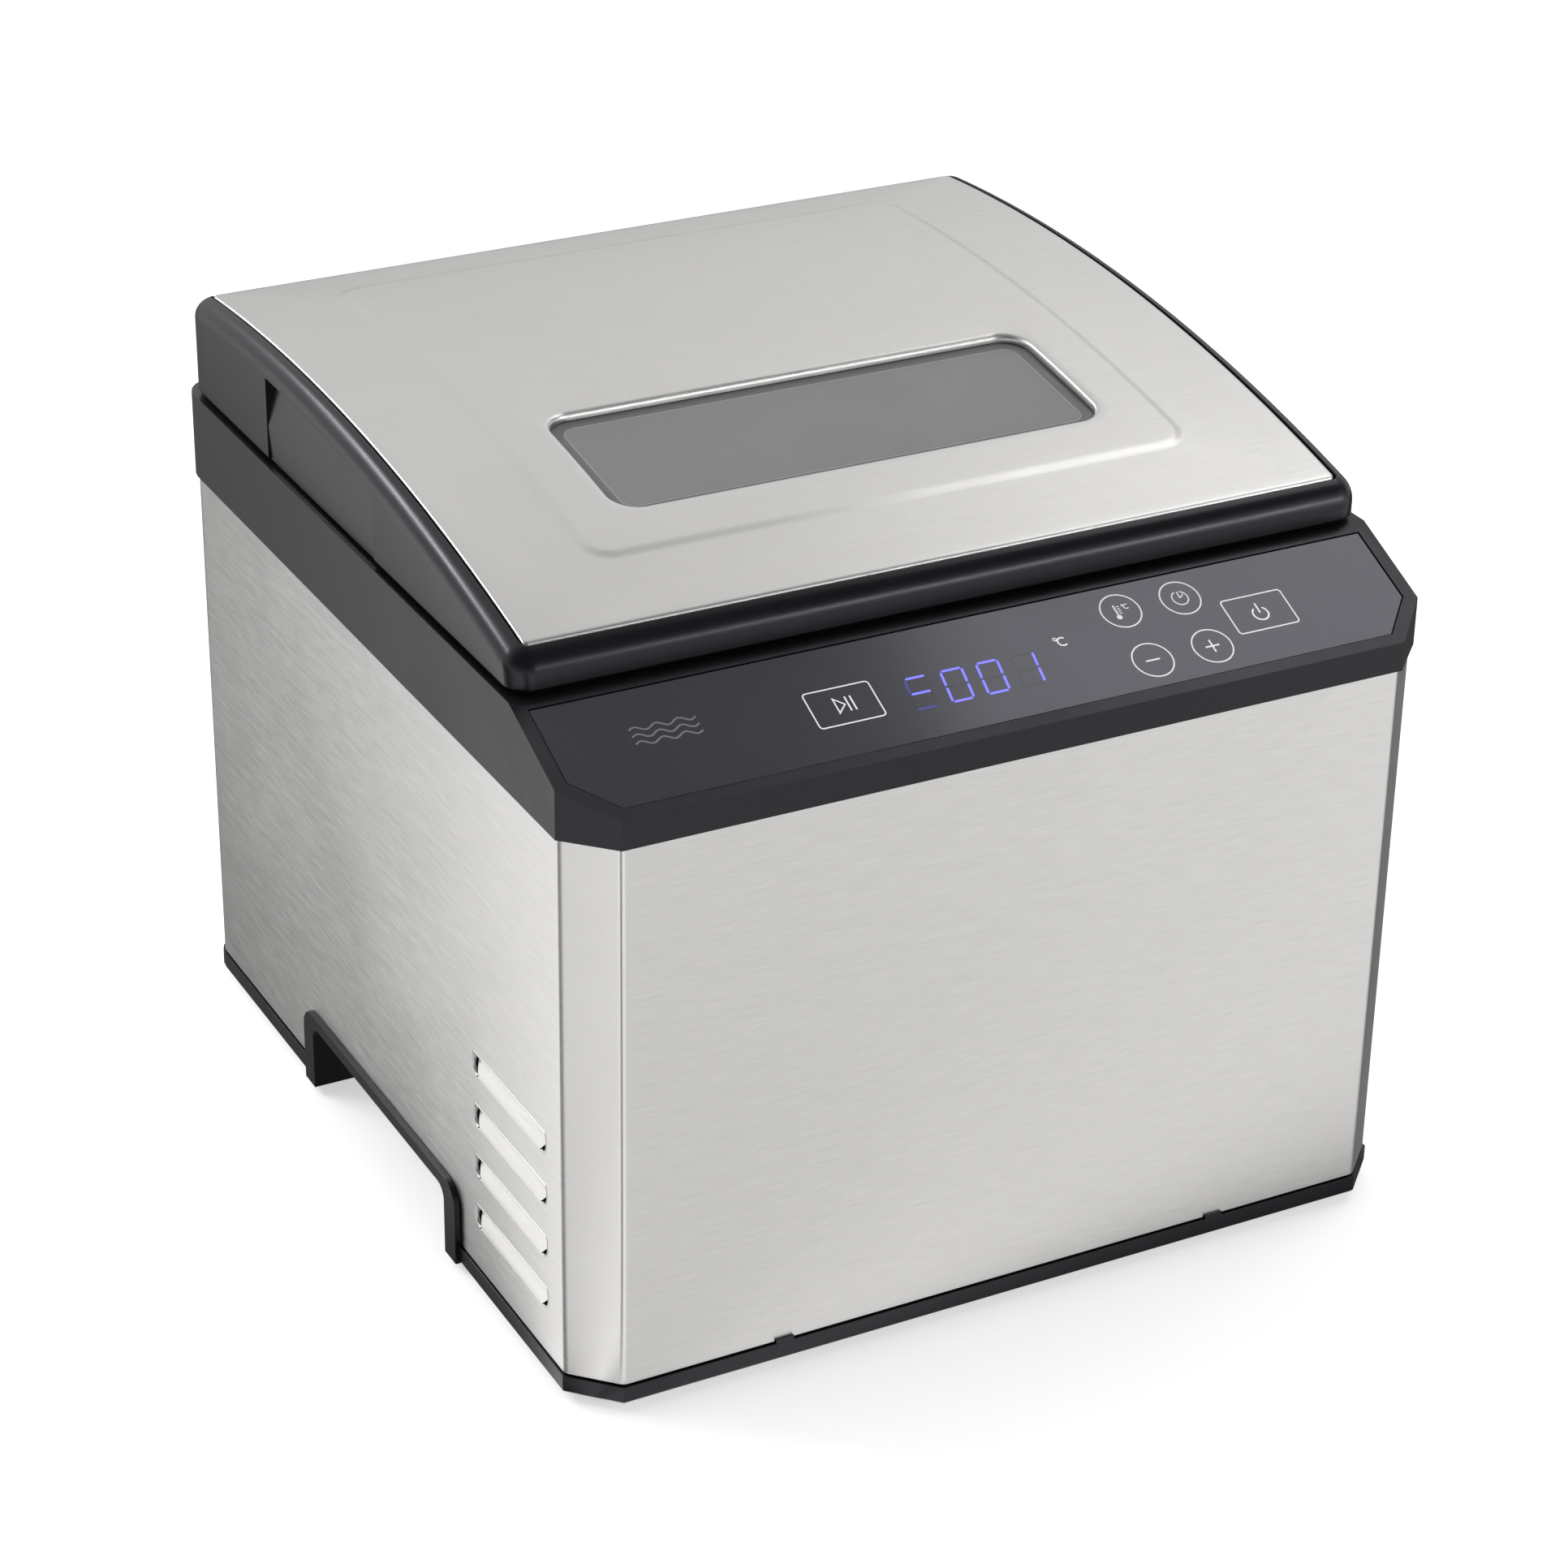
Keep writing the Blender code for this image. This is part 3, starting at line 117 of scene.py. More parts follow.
class RackSizes(bpy.types.PropertyGroup):
    wire: length("Wire", "Diameter of the rack's wire", 3.0)
    handle: length("Handle", "Diameter of the two handles", 4.4)
    columns: IntProperty(name="Divider columns", description="Openings across a divider", default=6, min=2)


class FinishColours(bpy.types.PropertyGroup):
    steel: colour("Brushed steel", "Wrap and lid sheet", (0.62, 0.612, 0.60))
    bright_steel: colour("Bright steel", "Tank, rack and grille", (0.66, 0.66, 0.65))
    plastic: colour("Moulded plastic", "Base, top frame and lid body", (0.0055, 0.0057, 0.0070))
    overlay: colour("Control overlay", "Smoked sheet over the keys", (0.017, 0.0173, 0.0225))
    ink: colour("Ink", "Printed key marks", (0.92, 0.92, 0.92))
    digits: colour("Digits", "Lit bars of the display", (0.16, 0.15, 1.0))
    pane: colour("Window pane", "Frosted pane in the lid", (0.205, 0.202, 0.205))


class StageSettings(bpy.types.PropertyGroup):
    floor: FloatProperty(name="Floor half size", description="Half the side of the pale floor",
                         default=9.0, unit="LENGTH", subtype="DISTANCE")
    room: FloatProperty(name="Room light", description="Strength of the even light from all round",
                        default=1.0, min=0.0)
    overhead: FloatProperty(name="Overhead light", description="Power of the large lamp above, in watts",
                            default=4.4, min=0.0)
    fill: FloatProperty(name="Side light", description="Power of the large lamp at the right, in watts",
                        default=5.0, min=0.0)
    left_strip: FloatProperty(name="Left strip light", default=20.0, min=0.0,
                              description="Power of the narrow lamp behind, in watts")
    front_strip: FloatProperty(name="Front strip light", default=11.0, min=0.0,
                               description="Power of the narrow lamp in front, in watts")
    lens: FloatProperty(name="Lens", description="Focal length of the camera", default=96.326,
                        unit="CAMERA", subtype="DISTANCE_CAMERA")


# ---------------------------------------------------------------- outlines (mm)
def arc(cx, cy, r, start, end, steps):
    """Points of an arc from one angle to the other, in degrees, both ends included."""
    angles = [math.radians(start + (end - start) * i / steps) for i in range(steps + 1)]
    return [(cx + r * math.cos(a), cy + r * math.sin(a)) for a in angles]


def rounded_rect(x0, x1, y0, y1, r, steps=8):
    points = arc(x1 - r, y1 - r, r, 0, 90, steps)
    points += arc(x0 + r, y1 - r, r, 90, 180, steps)
    points += arc(x0 + r, y0 + r, r, 180, 270, steps)
    points += arc(x1 - r, y0 + r, r, 270, 360, steps)
    return points


def shifted(points, distance, closed=True):
    """Move a line to its left by a distance, with mitred corners."""
    count = len(points)
    result = []
    for i in range(count):
        here = Vector(points[i])
        before = Vector(points[i - 1]) if closed or i > 0 else None
        after = Vector(points[(i + 1) % count]) if closed or i < count - 1 else None
        normals = []
        for a, b in ((before, here), (here, after)):
            if a is not None and b is not None and (b - a).length > 1e-6:
                run = (b - a).normalized()
                normals.append(Vector((-run.y, run.x)))
        middle = sum(normals, Vector((0, 0))).normalized()
        result.append(tuple(here + middle * (distance / middle.dot(normals[0]))))
    return result


def softened(points, radius, steps=6):
    """Round each inner corner of an open line to a radius."""
    result = [points[0]]
    for before, corner, after in zip(points, points[1:], points[2:]):
        corner = Vector(corner)
        back = (Vector(before) - corner).normalized()
        ahead = (Vector(after) - corner).normalized()
        half = math.acos(max(-1.0, min(1.0, back.dot(ahead)))) / 2
        reach = radius / math.tan(half)
        if reach < 0.02:
            result.append(tuple(corner))
            continue
        start = corner + back * reach
        end = corner + ahead * reach
        centre = corner + (back + ahead).normalized() * (radius / math.sin(half))
        for i in range(steps + 1):
            spoke = (start - centre).lerp(end - centre, i / steps).normalized()
            result.append(tuple(centre + spoke * radius))
    return result + [points[-1]]


def smooth_step(share):
    share = max(0.0, min(1.0, share))
    return share * share * (3 - 2 * share)


def at_height(points, z):
    return [(x, y, z) for x, y in points]


# ---------------------------------------------------------------- solids (mm)
def loft(loops, ring=False):
    """Skin a run of equal loops; the end loops are capped unless the run closes on itself."""
    bm = bmesh.new()
    rows = [[bm.verts.new(p) for p in loop] for loop in loops]
    pairs = list(zip(rows, rows[1:]))
    if ring:
        pairs.append((rows[-1], rows[0]))
    for low, high in pairs:
        for i in range(len(low)):
            j = (i + 1) % len(low)
            bm.faces.new((low[i], low[j], high[j], high[i]))
    if not ring:
        bm.faces.new(list(reversed(rows[0])))
        bm.faces.new(rows[-1])
    bmesh.ops.recalc_face_normals(bm, faces=bm.faces)
    return bm


def prism(points, z0, z1):
    return loft([at_height(points, z0), at_height(points, z1)])


def prism_x(points_yz, x0, x1):
    return loft([[(x, y, z) for y, z in points_yz] for x in (x0, x1)])


def prism_y(points_xz, y0, y1):
    return loft([[(x, y, z) for x, z in points_xz] for y in (y0, y1)])


def turned(profile, steps=32):
    """Turn a run of (radius, height) about Z, with flat ends."""
    return loft([at_height(arc(0, 0, r, 0, 360 - 360 / steps, steps - 1), z) for r, z in profile])


def swept(path, radius, sides=14):
    """Round bar along a run of points, capped at both ends."""
    points = [Vector(p) for p in path]
    loops = []
    side = None
    for i, point in enumerate(points):
        run = (points[min(i + 1, len(points) - 1)] - points[max(i - 1, 0)]).normalized()
        side = run.orthogonal().normalized() if side is None else (side - run * side.dot(run)).normalized()
        other = run.cross(side)
        turns = [2 * math.pi * k / sides for k in range(sides)]
        loops.append([tuple(point + (side * math.cos(a) + other * math.sin(a)) * radius) for a in turns])
    return loft(loops)


def moved(bm, matrix):
    bmesh.ops.transform(bm, matrix=matrix, verts=bm.verts)
    return bm


def placed(bm, x, y, z):
    return moved(bm, Matrix.Translation((x, y, z)))


def joined(solids):
    whole = bmesh.new()
    for solid in solids:
        scratch = bpy.data.meshes.new("scratch")
        solid.to_mesh(scratch)
        solid.free()
        whole.from_mesh(scratch)
        bpy.data.meshes.remove(scratch)
    return whole


def both_sides(make):
    """A left-side solid and its mirror image on the right."""
    right = moved(make(), Matrix.Scale(-1, 4, (1, 0, 0)))
    bmesh.ops.recalc_face_normals(right, faces=right.faces)
    return [make(), right]


def scratch_object(bm):
    mesh = bpy.data.meshes.new("scratch")
    bm.to_mesh(mesh)
    bm.free()
    obj = bpy.data.objects.new("scratch", mesh)
    bpy.context.scene.collection.objects.link(obj)
    return obj


def carved(solid, *steps):
    """Cut ("DIFFERENCE") or join ("UNION") tools in turn, and give back the plain result."""
    body = scratch_object(solid)
    tools = []
    for operation, tool in steps:
        tools.append(scratch_object(tool))
        modifier = body.modifiers.new(operation, "BOOLEAN")
        modifier.operation = operation
        modifier.object = tools[-1]
        modifier.solver = "EXACT"
    bpy.context.view_layer.update()
    graph = bpy.context.evaluated_depsgraph_get()
    result = bmesh.new()
    result.from_mesh(body.evaluated_get(graph).to_mesh())
    for obj in [body] + tools:
        data = obj.data
        bpy.data.objects.remove(obj)
        bpy.data.meshes.remove(data)
    return result


# A merged face with more corners than this holds slots and is cut into triangles again.
SLOTTED_CORNERS = 24


def merged_copy(node, cut_slotted=False):
    """A frame node's own shape with its loose triangles merged back into whole faces."""
    source = NODES[node].data
    bm = bmesh.new()
    verts = [bm.verts.new(v.co / MM) for v in source.vertices]
    for polygon in source.polygons:
        bm.faces.new([verts[i] for i in polygon.vertices])
    bmesh.ops.remove_doubles(bm, verts=bm.verts, dist=0.002)
    bmesh.ops.dissolve_limit(bm, angle_limit=math.radians(0.5), verts=bm.verts, edges=bm.edges)
    if cut_slotted:
        bmesh.ops.triangulate(bm, faces=[face for face in bm.faces if len(face.verts) > SLOTTED_CORNERS])
    return bm


# ---------------------------------------------------------------- pieces
def add_piece(name, bm, finishes, body, stands_for=(), crease=35.0):
    """Write a millimetre solid as one piece that rides on a body; no crease leaves it all smooth."""
    mesh = bpy.data.meshes.new(name)
    bmesh.ops.scale(bm, vec=(MM, MM, MM), verts=bm.verts)
    bm.to_mesh(mesh)
    bm.free()
    for name_of_finish in finishes.split():
        mesh.materials.append(finish(name_of_finish))
    return settle(name, mesh, body, stands_for, crease)


def settle(name, mesh, body, stands_for=(), crease=35.0):
    mesh.shade_smooth()
    if crease:
        mesh.set_sharp_from_angle(angle=math.radians(crease))
    piece = bpy.data.objects.new(name, mesh)
    bpy.context.scene.collection.objects.link(piece)
    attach(piece, body)
    if stands_for:
        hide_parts(*stands_for)
    return piece


def round_edges(piece, width, segments=2, angle=32.0, by_weight=False):
    """Finish a piece with small rounded edges, as moulding or tumbling leaves them."""
    modifier = piece.modifiers.new("rounded_edges", "BEVEL")
    modifier.width = width * MM
    modifier.segments = segments
    modifier.limit_method = "WEIGHT" if by_weight else "ANGLE"
    modifier.angle_limit = math.radians(angle)
    modifier.harden_normals = True
    modifier.use_clamp_overlap = True
    modifier.miter_outer = "MITER_ARC"
    return piece


def refine(name, node, finish_name, body, width, segments=2):
    """Stand in for a frame node with its own shape, merged and with rounded edges."""
    piece = add_piece(name, merged_copy(node), finish_name, body, (node,), crease=None)
    return round_edges(piece, width, segments)


def dress(node, finish_name):
    """Give a frame node that keeps its own mesh a full material."""
    NODES[node].data.materials.clear()
    NODES[node].data.materials.append(finish(finish_name))


# ---------------------------------------------------------------- node wiring
class Wiring:
    """Adds and links the nodes of one tree."""

    def __init__(self, tree):
        self.tree = tree

    def add(self, kind, inputs=None, **settings):
        node = self.tree.nodes.new(kind)
        for key, value in settings.items():
            setattr(node, key, value)
        for key, value in (inputs or {}).items():
            self.put(node.inputs[key], value)
        return node

    def put(self, socket, value):
        for one in value if isinstance(value, list) else [value]:
            if isinstance(one, bpy.types.NodeSocket):
                self.tree.links.new(one, socket)
            else:
                socket.default_value = one

    def math(self, operation, a, b=0.0):
        return self.add("ShaderNodeMath", {0: a, 1: b}, operation=operation).outputs[0]

    def blend(self, share, low, high):
        return self.add("ShaderNodeMix", {0: share, 6: low, 7: high}, data_type="RGBA").outputs[2]

    def span(self, value, low, high, to_low, to_high):
        keys = {"Value": value, "From Min": low, "From Max": high, "To Min": to_low, "To Max": to_high}
        return self.add("ShaderNodeMapRange", keys).outputs[0]


def open_group(name, kind, inputs, outputs):
    """New node group with named sockets; gives its wiring, its input node and its output node."""
    tree = bpy.data.node_groups.new(name, kind)
    for label, socket, default in inputs:
        made = tree.interface.new_socket(name=label, in_out="INPUT", socket_type=socket)
        if default is not None:
            made.default_value = default
    for label, socket in outputs:
        tree.interface.new_socket(name=label, in_out="OUTPUT", socket_type=socket)
    wiring = Wiring(tree)
    return wiring, wiring.add("NodeGroupInput").outputs, wiring.add("NodeGroupOutput").inputs


FLOAT = "NodeSocketFloat"
VECTOR = "NodeSocketVector"


def make_grain_group():
    """Brushing: fine and coarse streaks, drawn out along the directions with a small scale."""
    w, source, sink = open_group(
        "brushed_grain", "ShaderNodeTree",
        [("Vector", VECTOR, None), ("Streaks", VECTOR, (26.0, 26.0, 2200.0))],
        [("Tone", FLOAT), ("Height", FLOAT)])
    drawn = w.add("ShaderNodeVectorMath", {0: source["Vector"], 1: source["Streaks"]},
                  operation="MULTIPLY").outputs[0]
    fine = w.add("ShaderNodeTexNoise", {"Vector": drawn, "Scale": 1.0, "Detail": 3.0, "Roughness": 0.7})
    coarse = w.add("ShaderNodeTexNoise", {"Vector": drawn, "Scale": 0.31, "Detail": 2.0, "Roughness": 0.6})
    tone = w.math("MULTIPLY", fine.outputs["Fac"], 0.78)
    part = w.math("MULTIPLY", coarse.outputs["Fac"], 0.22)
    w.put(sink["Tone"], w.math("ADD", tone, part))
    w.put(sink["Height"], fine.outputs["Fac"])
    return w.tree


def make_mould_group():
    """Moulded skin: a fine pebbled height and scattered tiny bright specks."""
    w, source, sink = open_group(
        "mould_grain", "ShaderNodeTree",
        [("Vector", VECTOR, None), ("Scale", FLOAT, 2000.0)],
        [("Height", FLOAT), ("Speck", FLOAT)])
    pebble = w.add("ShaderNodeTexNoise", {"Vector": source["Vector"], "Scale": source["Scale"],
                                          "Detail": 2.0, "Roughness": 0.65})
    cells = w.add("ShaderNodeTexVoronoi", {"Vector": source["Vector"], "Scale": source["Scale"]})
    speck = w.span(cells.outputs["Distance"], 0.30, 0.10, 0.0, 1.0)
    pick = w.add("ShaderNodeSeparateColor", {0: cells.outputs["Color"]}).outputs[0]
    w.put(sink["Height"], pebble.outputs["Fac"])
    w.put(sink["Speck"], w.math("MULTIPLY", speck, w.math("GREATER_THAN", pick, 0.78)))
    return w.tree


def make_marks_group():
    """Handling marks: broad uneven patches between two values, with finer wipes inside them."""
    w, source, sink = open_group(
        "handling_marks", "ShaderNodeTree",
        [("Vector", VECTOR, None), ("Scale", FLOAT, 16.0), ("Low", FLOAT, 0.3), ("High", FLOAT, 0.4)],
        [("Value", FLOAT)])
    broad = w.add("ShaderNodeTexNoise", {"Vector": source["Vector"], "Scale": source["Scale"],
                                         "Detail": 5.0, "Roughness": 0.62, "Distortion": 0.6})
    w.put(sink["Value"], w.span(broad.outputs["Fac"], 0.32, 0.68, source["Low"], source["High"]))
    return w.tree


def make_cells_group():
    """Crystal or board pattern: straight-sided cells with their own tone."""
    w, source, sink = open_group(
        "cell_tone", "ShaderNodeTree",
        [("Vector", VECTOR, None), ("Scale", FLOAT, 160.0)], [("Tone", FLOAT)])
    cells = w.add("ShaderNodeTexVoronoi", {"Vector": source["Vector"], "Scale": source["Scale"]},
                  distance="MANHATTAN")
    w.put(sink["Tone"], w.add("ShaderNodeSeparateColor", {0: cells.outputs["Color"]}).outputs[1])
    return w.tree


GROUP_MAKERS = {
    "brushed_grain": make_grain_group,
    "mould_grain": make_mould_group,
    "handling_marks": make_marks_group,
    "cell_tone": make_cells_group,
}


class Finish(Wiring):
    """One material: its Principled shader, Object coordinates and the shared groups."""

    def __init__(self, name, **constants):
        self.material = bpy.data.materials.new(name)
        self.material.use_nodes = True
        super().__init__(self.material.node_tree)
        self.shader = self.tree.nodes["Principled BSDF"]
        self.place = self.add("ShaderNodeTexCoord").outputs["Object"]
        for key, value in constants.items():
            self.shader.inputs[key.replace("_", " ")].default_value = value

    def group(self, name, **inputs):
        tree = bpy.data.node_groups.get(name) or GROUP_MAKERS[name]()
        node = self.add("ShaderNodeGroup", node_tree=tree)
        self.put(node.inputs["Vector"], self.place)
        for key, value in inputs.items():
            self.put(node.inputs[key], value)
        return node.outputs

    def tone(self, base, share, low=0.95, high=1.05):
        """Vary the base colour a little, darker to lighter, by a mask."""
        pair = [tuple(c * k for c in base) + (1.0,) for k in (low, high)]
        self.put(self.shader.inputs["Base Color"], self.blend(share, *pair))

    def roughness(self, value):
        self.put(self.shader.inputs["Roughness"], value)

    def bump(self, height, distance, strength=1.0):
        node = self.add("ShaderNodeBump", {"Height": height, "Strength": strength, "Distance": distance * MM})
        self.put(self.shader.inputs["Normal"], node.outputs[0])


def steel_finish(name, base, streaks, low, high, bump=0.004, contrast=0.05, across=None):
    """Brushed metal; across is the direction that its highlights are drawn out along."""
    f = Finish(name, Metallic=1.0, Anisotropic=0.85 if across else 0.0)
    if across:
        line = f.add("ShaderNodeCombineXYZ", dict(enumerate(across)))
        f.put(f.shader.inputs["Tangent"], line.outputs[0])
    grain = f.group("brushed_grain", Streaks=streaks)
    marks = f.group("handling_marks", Scale=9.0, Low=low, High=high)
    spread = f.math("MULTIPLY", f.math("SUBTRACT", grain["Tone"], 0.5), 0.22)
    f.tone(base, grain["Tone"], 1.0 - contrast * 2, 1.0 + contrast * 2)
    f.roughness(f.math("ADD", marks["Value"], spread))
    f.bump(grain["Height"], bump)
    return f.material


def moulded_finish(name, base, low, high, scale=2000.0, bump=0.012, speck=2.6, ior=1.41):
    f = Finish(name, IOR=ior, Specular_Tint=(0.90, 0.91, 1.0, 1.0))
    grain = f.group("mould_grain", Scale=scale)
    marks = f.group("handling_marks", Scale=14.0, Low=low, High=high)
    f.tone(base, grain["Speck"], 1.0, speck)
    f.roughness(marks["Value"])
    f.bump(grain["Height"], bump)
    return f.material


def zinc_finish(name, base, low, high, cell=140.0):
    f = Finish(name, Metallic=1.0)
    cells = f.group("cell_tone", Scale=cell)
    marks = f.group("handling_marks", Scale=22.0, Low=low, High=high)
    grain = f.group("mould_grain", Scale=900.0)
    f.tone(base, cells["Tone"], 0.88, 1.1)
    f.roughness(marks["Value"])
    f.bump(grain["Height"], 0.01)
    return f.material


def board_finish(name, base):
    f = Finish(name, Coat_Weight=0.3)
    cells = f.group("cell_tone", Scale=260.0)
    marks = f.group("handling_marks", Scale=30.0, Low=0.32, High=0.45)
    f.tone(base, f.math("GREATER_THAN", cells["Tone"], 0.62), 1.0, 1.7)
    f.roughness(marks["Value"])
    f.bump(cells["Tone"], 0.03)
    return f.material


def overlay_finish(name, base):
    """Smoked polyester: a faint screen-printed tooth under a clear gloss face."""
    f = Finish(name, IOR=1.5, Specular_Tint=(0.87, 0.88, 1.0, 1.0))
    grain = f.group("mould_grain", Scale=1500.0)
    marks = f.group("handling_marks", Scale=11.0, Low=0.12, High=0.17)
    f.tone(base, grain["Height"], 0.9, 1.1)
    f.roughness(marks["Value"])
    f.bump(grain["Height"], 0.0012)
    return f.material


def pane_finish(name, base):
    """Acid-frosted glass: a cloudy body with a very fine tooth."""
    f = Finish(name, IOR=1.52)
    tooth = f.group("mould_grain", Scale=2600.0)
    marks = f.group("handling_marks", Scale=7.0, Low=0.20, High=0.27)
    cloud = f.group("handling_marks", Scale=20.0, Low=0.0, High=1.0)
    f.tone(base, cloud["Value"], 0.95, 1.06)
    f.roughness(marks["Value"])
    f.bump(tooth["Height"], 0.004)
    return f.material


def ink_finish(name, base, glow=0.0):
    f = Finish(name, IOR=1.45, Emission_Strength=glow)
    grain = f.group("mould_grain", Scale=1800.0)
    f.tone(base, grain["Height"], 0.88, 1.06)
    # The glow lights the display bars. On the printed key marks it is painted brightness, as no lamp lies under them.
    if glow:
        pair = [tuple(c * k for c in base) + (1.0,) for k in (0.9, 1.08)]
        f.put(f.shader.inputs["Emission Color"], f.blend(grain["Height"], *pair))
    f.roughness(f.group("handling_marks", Scale=60.0, Low=0.42, High=0.55)["Value"])
    f.bump(grain["Height"], 0.004)
    return f.material


def finish(name):
    """The named material, made the first time that it is asked for."""
    made = bpy.data.materials.get("finish_" + name)
    if made:
        return made
    c = bpy.context.scene.oven_colours
    steel, bright, black = tuple(c.steel), tuple(c.bright_steel), tuple(c.plastic)
    full = "finish_" + name
    makers = {
        "wrap_steel": lambda: steel_finish(full, steel, (75.0, 75.0, 2000.0), 0.31, 0.36, 0.004, 0.10,
                                           (0.0, 0.0, 1.0)),
        "lid_steel": lambda: steel_finish(full, steel, (75.0, 2000.0, 90.0), 0.29, 0.34, 0.004, 0.07,
                                          (0.0, 1.0, 0.03)),
        "tank_steel": lambda: steel_finish(full, bright, (420.0, 420.0, 30.0), 0.20, 0.28, 0.002, 0.03),
        "wire_steel": lambda: steel_finish(full, bright, (700.0, 700.0, 700.0), 0.14, 0.24, 0.002, 0.03),
        "zinc": lambda: zinc_finish(full, (0.56, 0.57, 0.59), 0.34, 0.48),
        "screw_zinc": lambda: zinc_finish(full, (0.60, 0.60, 0.60), 0.26, 0.38, 600.0),
        "moulded": lambda: moulded_finish(full, black, 0.30, 0.38),
        "lid_moulded": lambda: moulded_finish(full, black, 0.24, 0.30),
        "inlet_moulded": lambda: moulded_finish(full, (0.012, 0.012, 0.012), 0.45, 0.55, 2600.0),
        "liner_moulded": lambda: moulded_finish(full, (0.045, 0.045, 0.05), 0.42, 0.52, 1500.0),
        "component": lambda: moulded_finish(full, (0.03, 0.03, 0.034), 0.4, 0.52, 3000.0),
        "relay": lambda: moulded_finish(full, (0.04, 0.10, 0.32), 0.32, 0.42, 3000.0, speck=1.2),
        "rubber": lambda: moulded_finish(full, (0.018, 0.018, 0.018), 0.72, 0.85, 1200.0, 0.03, 1.5),
        "silicone": lambda: moulded_finish(full, (0.34, 0.34, 0.35), 0.5, 0.62, 1400.0, 0.02, 1.1),
        "overlay": lambda: overlay_finish(full, tuple(c.overlay)),
        "display": lambda: overlay_finish(full, (0.02, 0.02, 0.03)),
        "pane": lambda: pane_finish(full, tuple(c.pane)),
        "border": lambda: ink_finish(full, (0.17, 0.172, 0.178)),
        "pane_line": lambda: ink_finish(full, (0.38, 0.38, 0.38)),
        # Painted glow: the printed key marks get a faint emission of 0.25, though nothing lights them from behind.
        "ink": lambda: ink_finish(full, tuple(c.ink), 0.25),
        "soft_ink": lambda: ink_finish(full, (0.22, 0.23, 0.24)),
        "digit": lambda: ink_finish(full, tuple(c.digits), 1.15),
        "digit_dim": lambda: ink_finish(full, tuple(0.25 * v + 0.02 for v in c.digits), 0.5),
        "digit_dark": lambda: overlay_finish(full, (0.012, 0.0122, 0.016)),
        "board": lambda: board_finish(full, (0.03, 0.15, 0.07)),
        "aluminium": lambda: zinc_finish(full, (0.74, 0.74, 0.75), 0.3, 0.42, 420.0),
        "brass": lambda: steel_finish(full, (0.72, 0.53, 0.25), (900.0, 900.0, 60.0), 0.22, 0.32),
        "core": lambda: steel_finish(full, (0.22, 0.21, 0.20), (30.0, 1800.0, 30.0), 0.42, 0.55, 0.03),
    }
    return makers[name]()


# ---------------------------------------------------------------- casing
HOLD_HALF = 62.2               # finger opening under each side, half length
HOLD_TOP = 30.0
LOUVRE_FRONT = -146.8
LOUVRE_REAR = -85.4
LOUVRE_TAPER = 4.2


def wrap_line():
    """Outer face of the steel wrap: back left, round the front, to the back right."""
    casing = bpy.context.scene.oven_casing
    x, y, cut = CASING_HIGH.x, CASING_HIGH.y, casing.corner_cut / MM
    r = casing.rear_radius / MM
    left = [(-142.0, y)] + arc(-x + r, y - r, r, 90, 180, 12)
    right = arc(x - r, y - r, r, 0, 90, 12) + [(142.0, y)]
    front = [(-x, -y + cut), (-x + cut, -y), (x - cut, -y), (x, -y + cut)]
    folds = softened([left[-1]] + front + [right[0]], casing.bend / MM, 10)
    return left + folds[1:-1] + right


def hold_outline(grow, z0):
    """Round-shouldered outline of a finger opening, in Y and Z."""
    half, top, r = HOLD_HALF + grow, HOLD_TOP + grow, 5.0 + grow * 0.6
    shoulders = arc(half - r, top - r, r, 0, 90, 8) + arc(r - half, top - r, r, 90, 180, 8)
    return [(half, z0)] + shoulders + [(-half, z0)]


FOOT_STEPS = 8                 # steps round each lower corner of a louvre


def louvre_opening(z, height):
    """Outline of the place that one louvre takes in the left side, in Y and Z."""
    top, r, foot = z + height, 2.0, LOUVRE_TAPER
    low_front = arc(LOUVRE_FRONT + foot, z + foot, foot, 180, 270, FOOT_STEPS)
    low_rear = arc(LOUVRE_REAR - foot, z + foot, foot, 270, 360, FOOT_STEPS)
    high = arc(LOUVRE_REAR - r, top - r, r, 0, 90, 5) + arc(LOUVRE_FRONT + r, top - r, r, 90, 180, 5)
    return low_front + low_rear + high


def louvre_strip(z, height, depth, sheet):
    """Flat flap, whole along its foot and leaning in to its free top edge, with open ends."""
    skin = CASING_LOW.x
    across, up, gap = 24, 12, 0.8
    faces = []
    for thick in (0.0, sheet):
        rows = []
        for j in range(up + 1):
            v = j / up
            taper = 4.7 * (1 - v) ** 1.8
            front, rear = LOUVRE_FRONT + taper + gap, LOUVRE_REAR - taper - gap
            lean = depth * (v - 0.10 * (1 - math.exp(-v / 0.10)))
            row = []
            for i in range(across + 1):
                y = front + (rear - front) * i / across
                corner = max(0.0, 1.0 - min(y - front, rear - y) / 2.4) ** 2 * v ** 4
                row.append((skin + 0.03 + lean + thick, y, z + (height - 0.5) * v - 1.6 * corner))
            rows.append(row)
        faces.append(rows)
    return closed_sheet(*faces)


# Section of a louvre's rolled edge: how far out of the opening, and how deep in from the side.
RIM_SECTION = [
    (-0.3, 0.3), (-0.15, -0.05), (0.2, -0.2), (0.55, -0.05),
    (0.7, 0.3), (0.7, 1.8), (0.35, 1.8), (0.2, 0.8),
]


def louvre_rim(z, height):
    """Rolled edge of the pressed opening, round its top and both ends."""
    outline = louvre_opening(z, height)
    start = FOOT_STEPS + 1         # past the lower front corner
    line = outline[start:] + outline[:start]
    sides = [shifted(line, across, closed=False) for across, _ in RIM_SECTION]
    rows = []
    for k in range(len(line)):
        rows.append([(CASING_LOW.x + deep, *side[k]) for side, (_, deep) in zip(sides, RIM_SECTION)])
    return loft(rows)


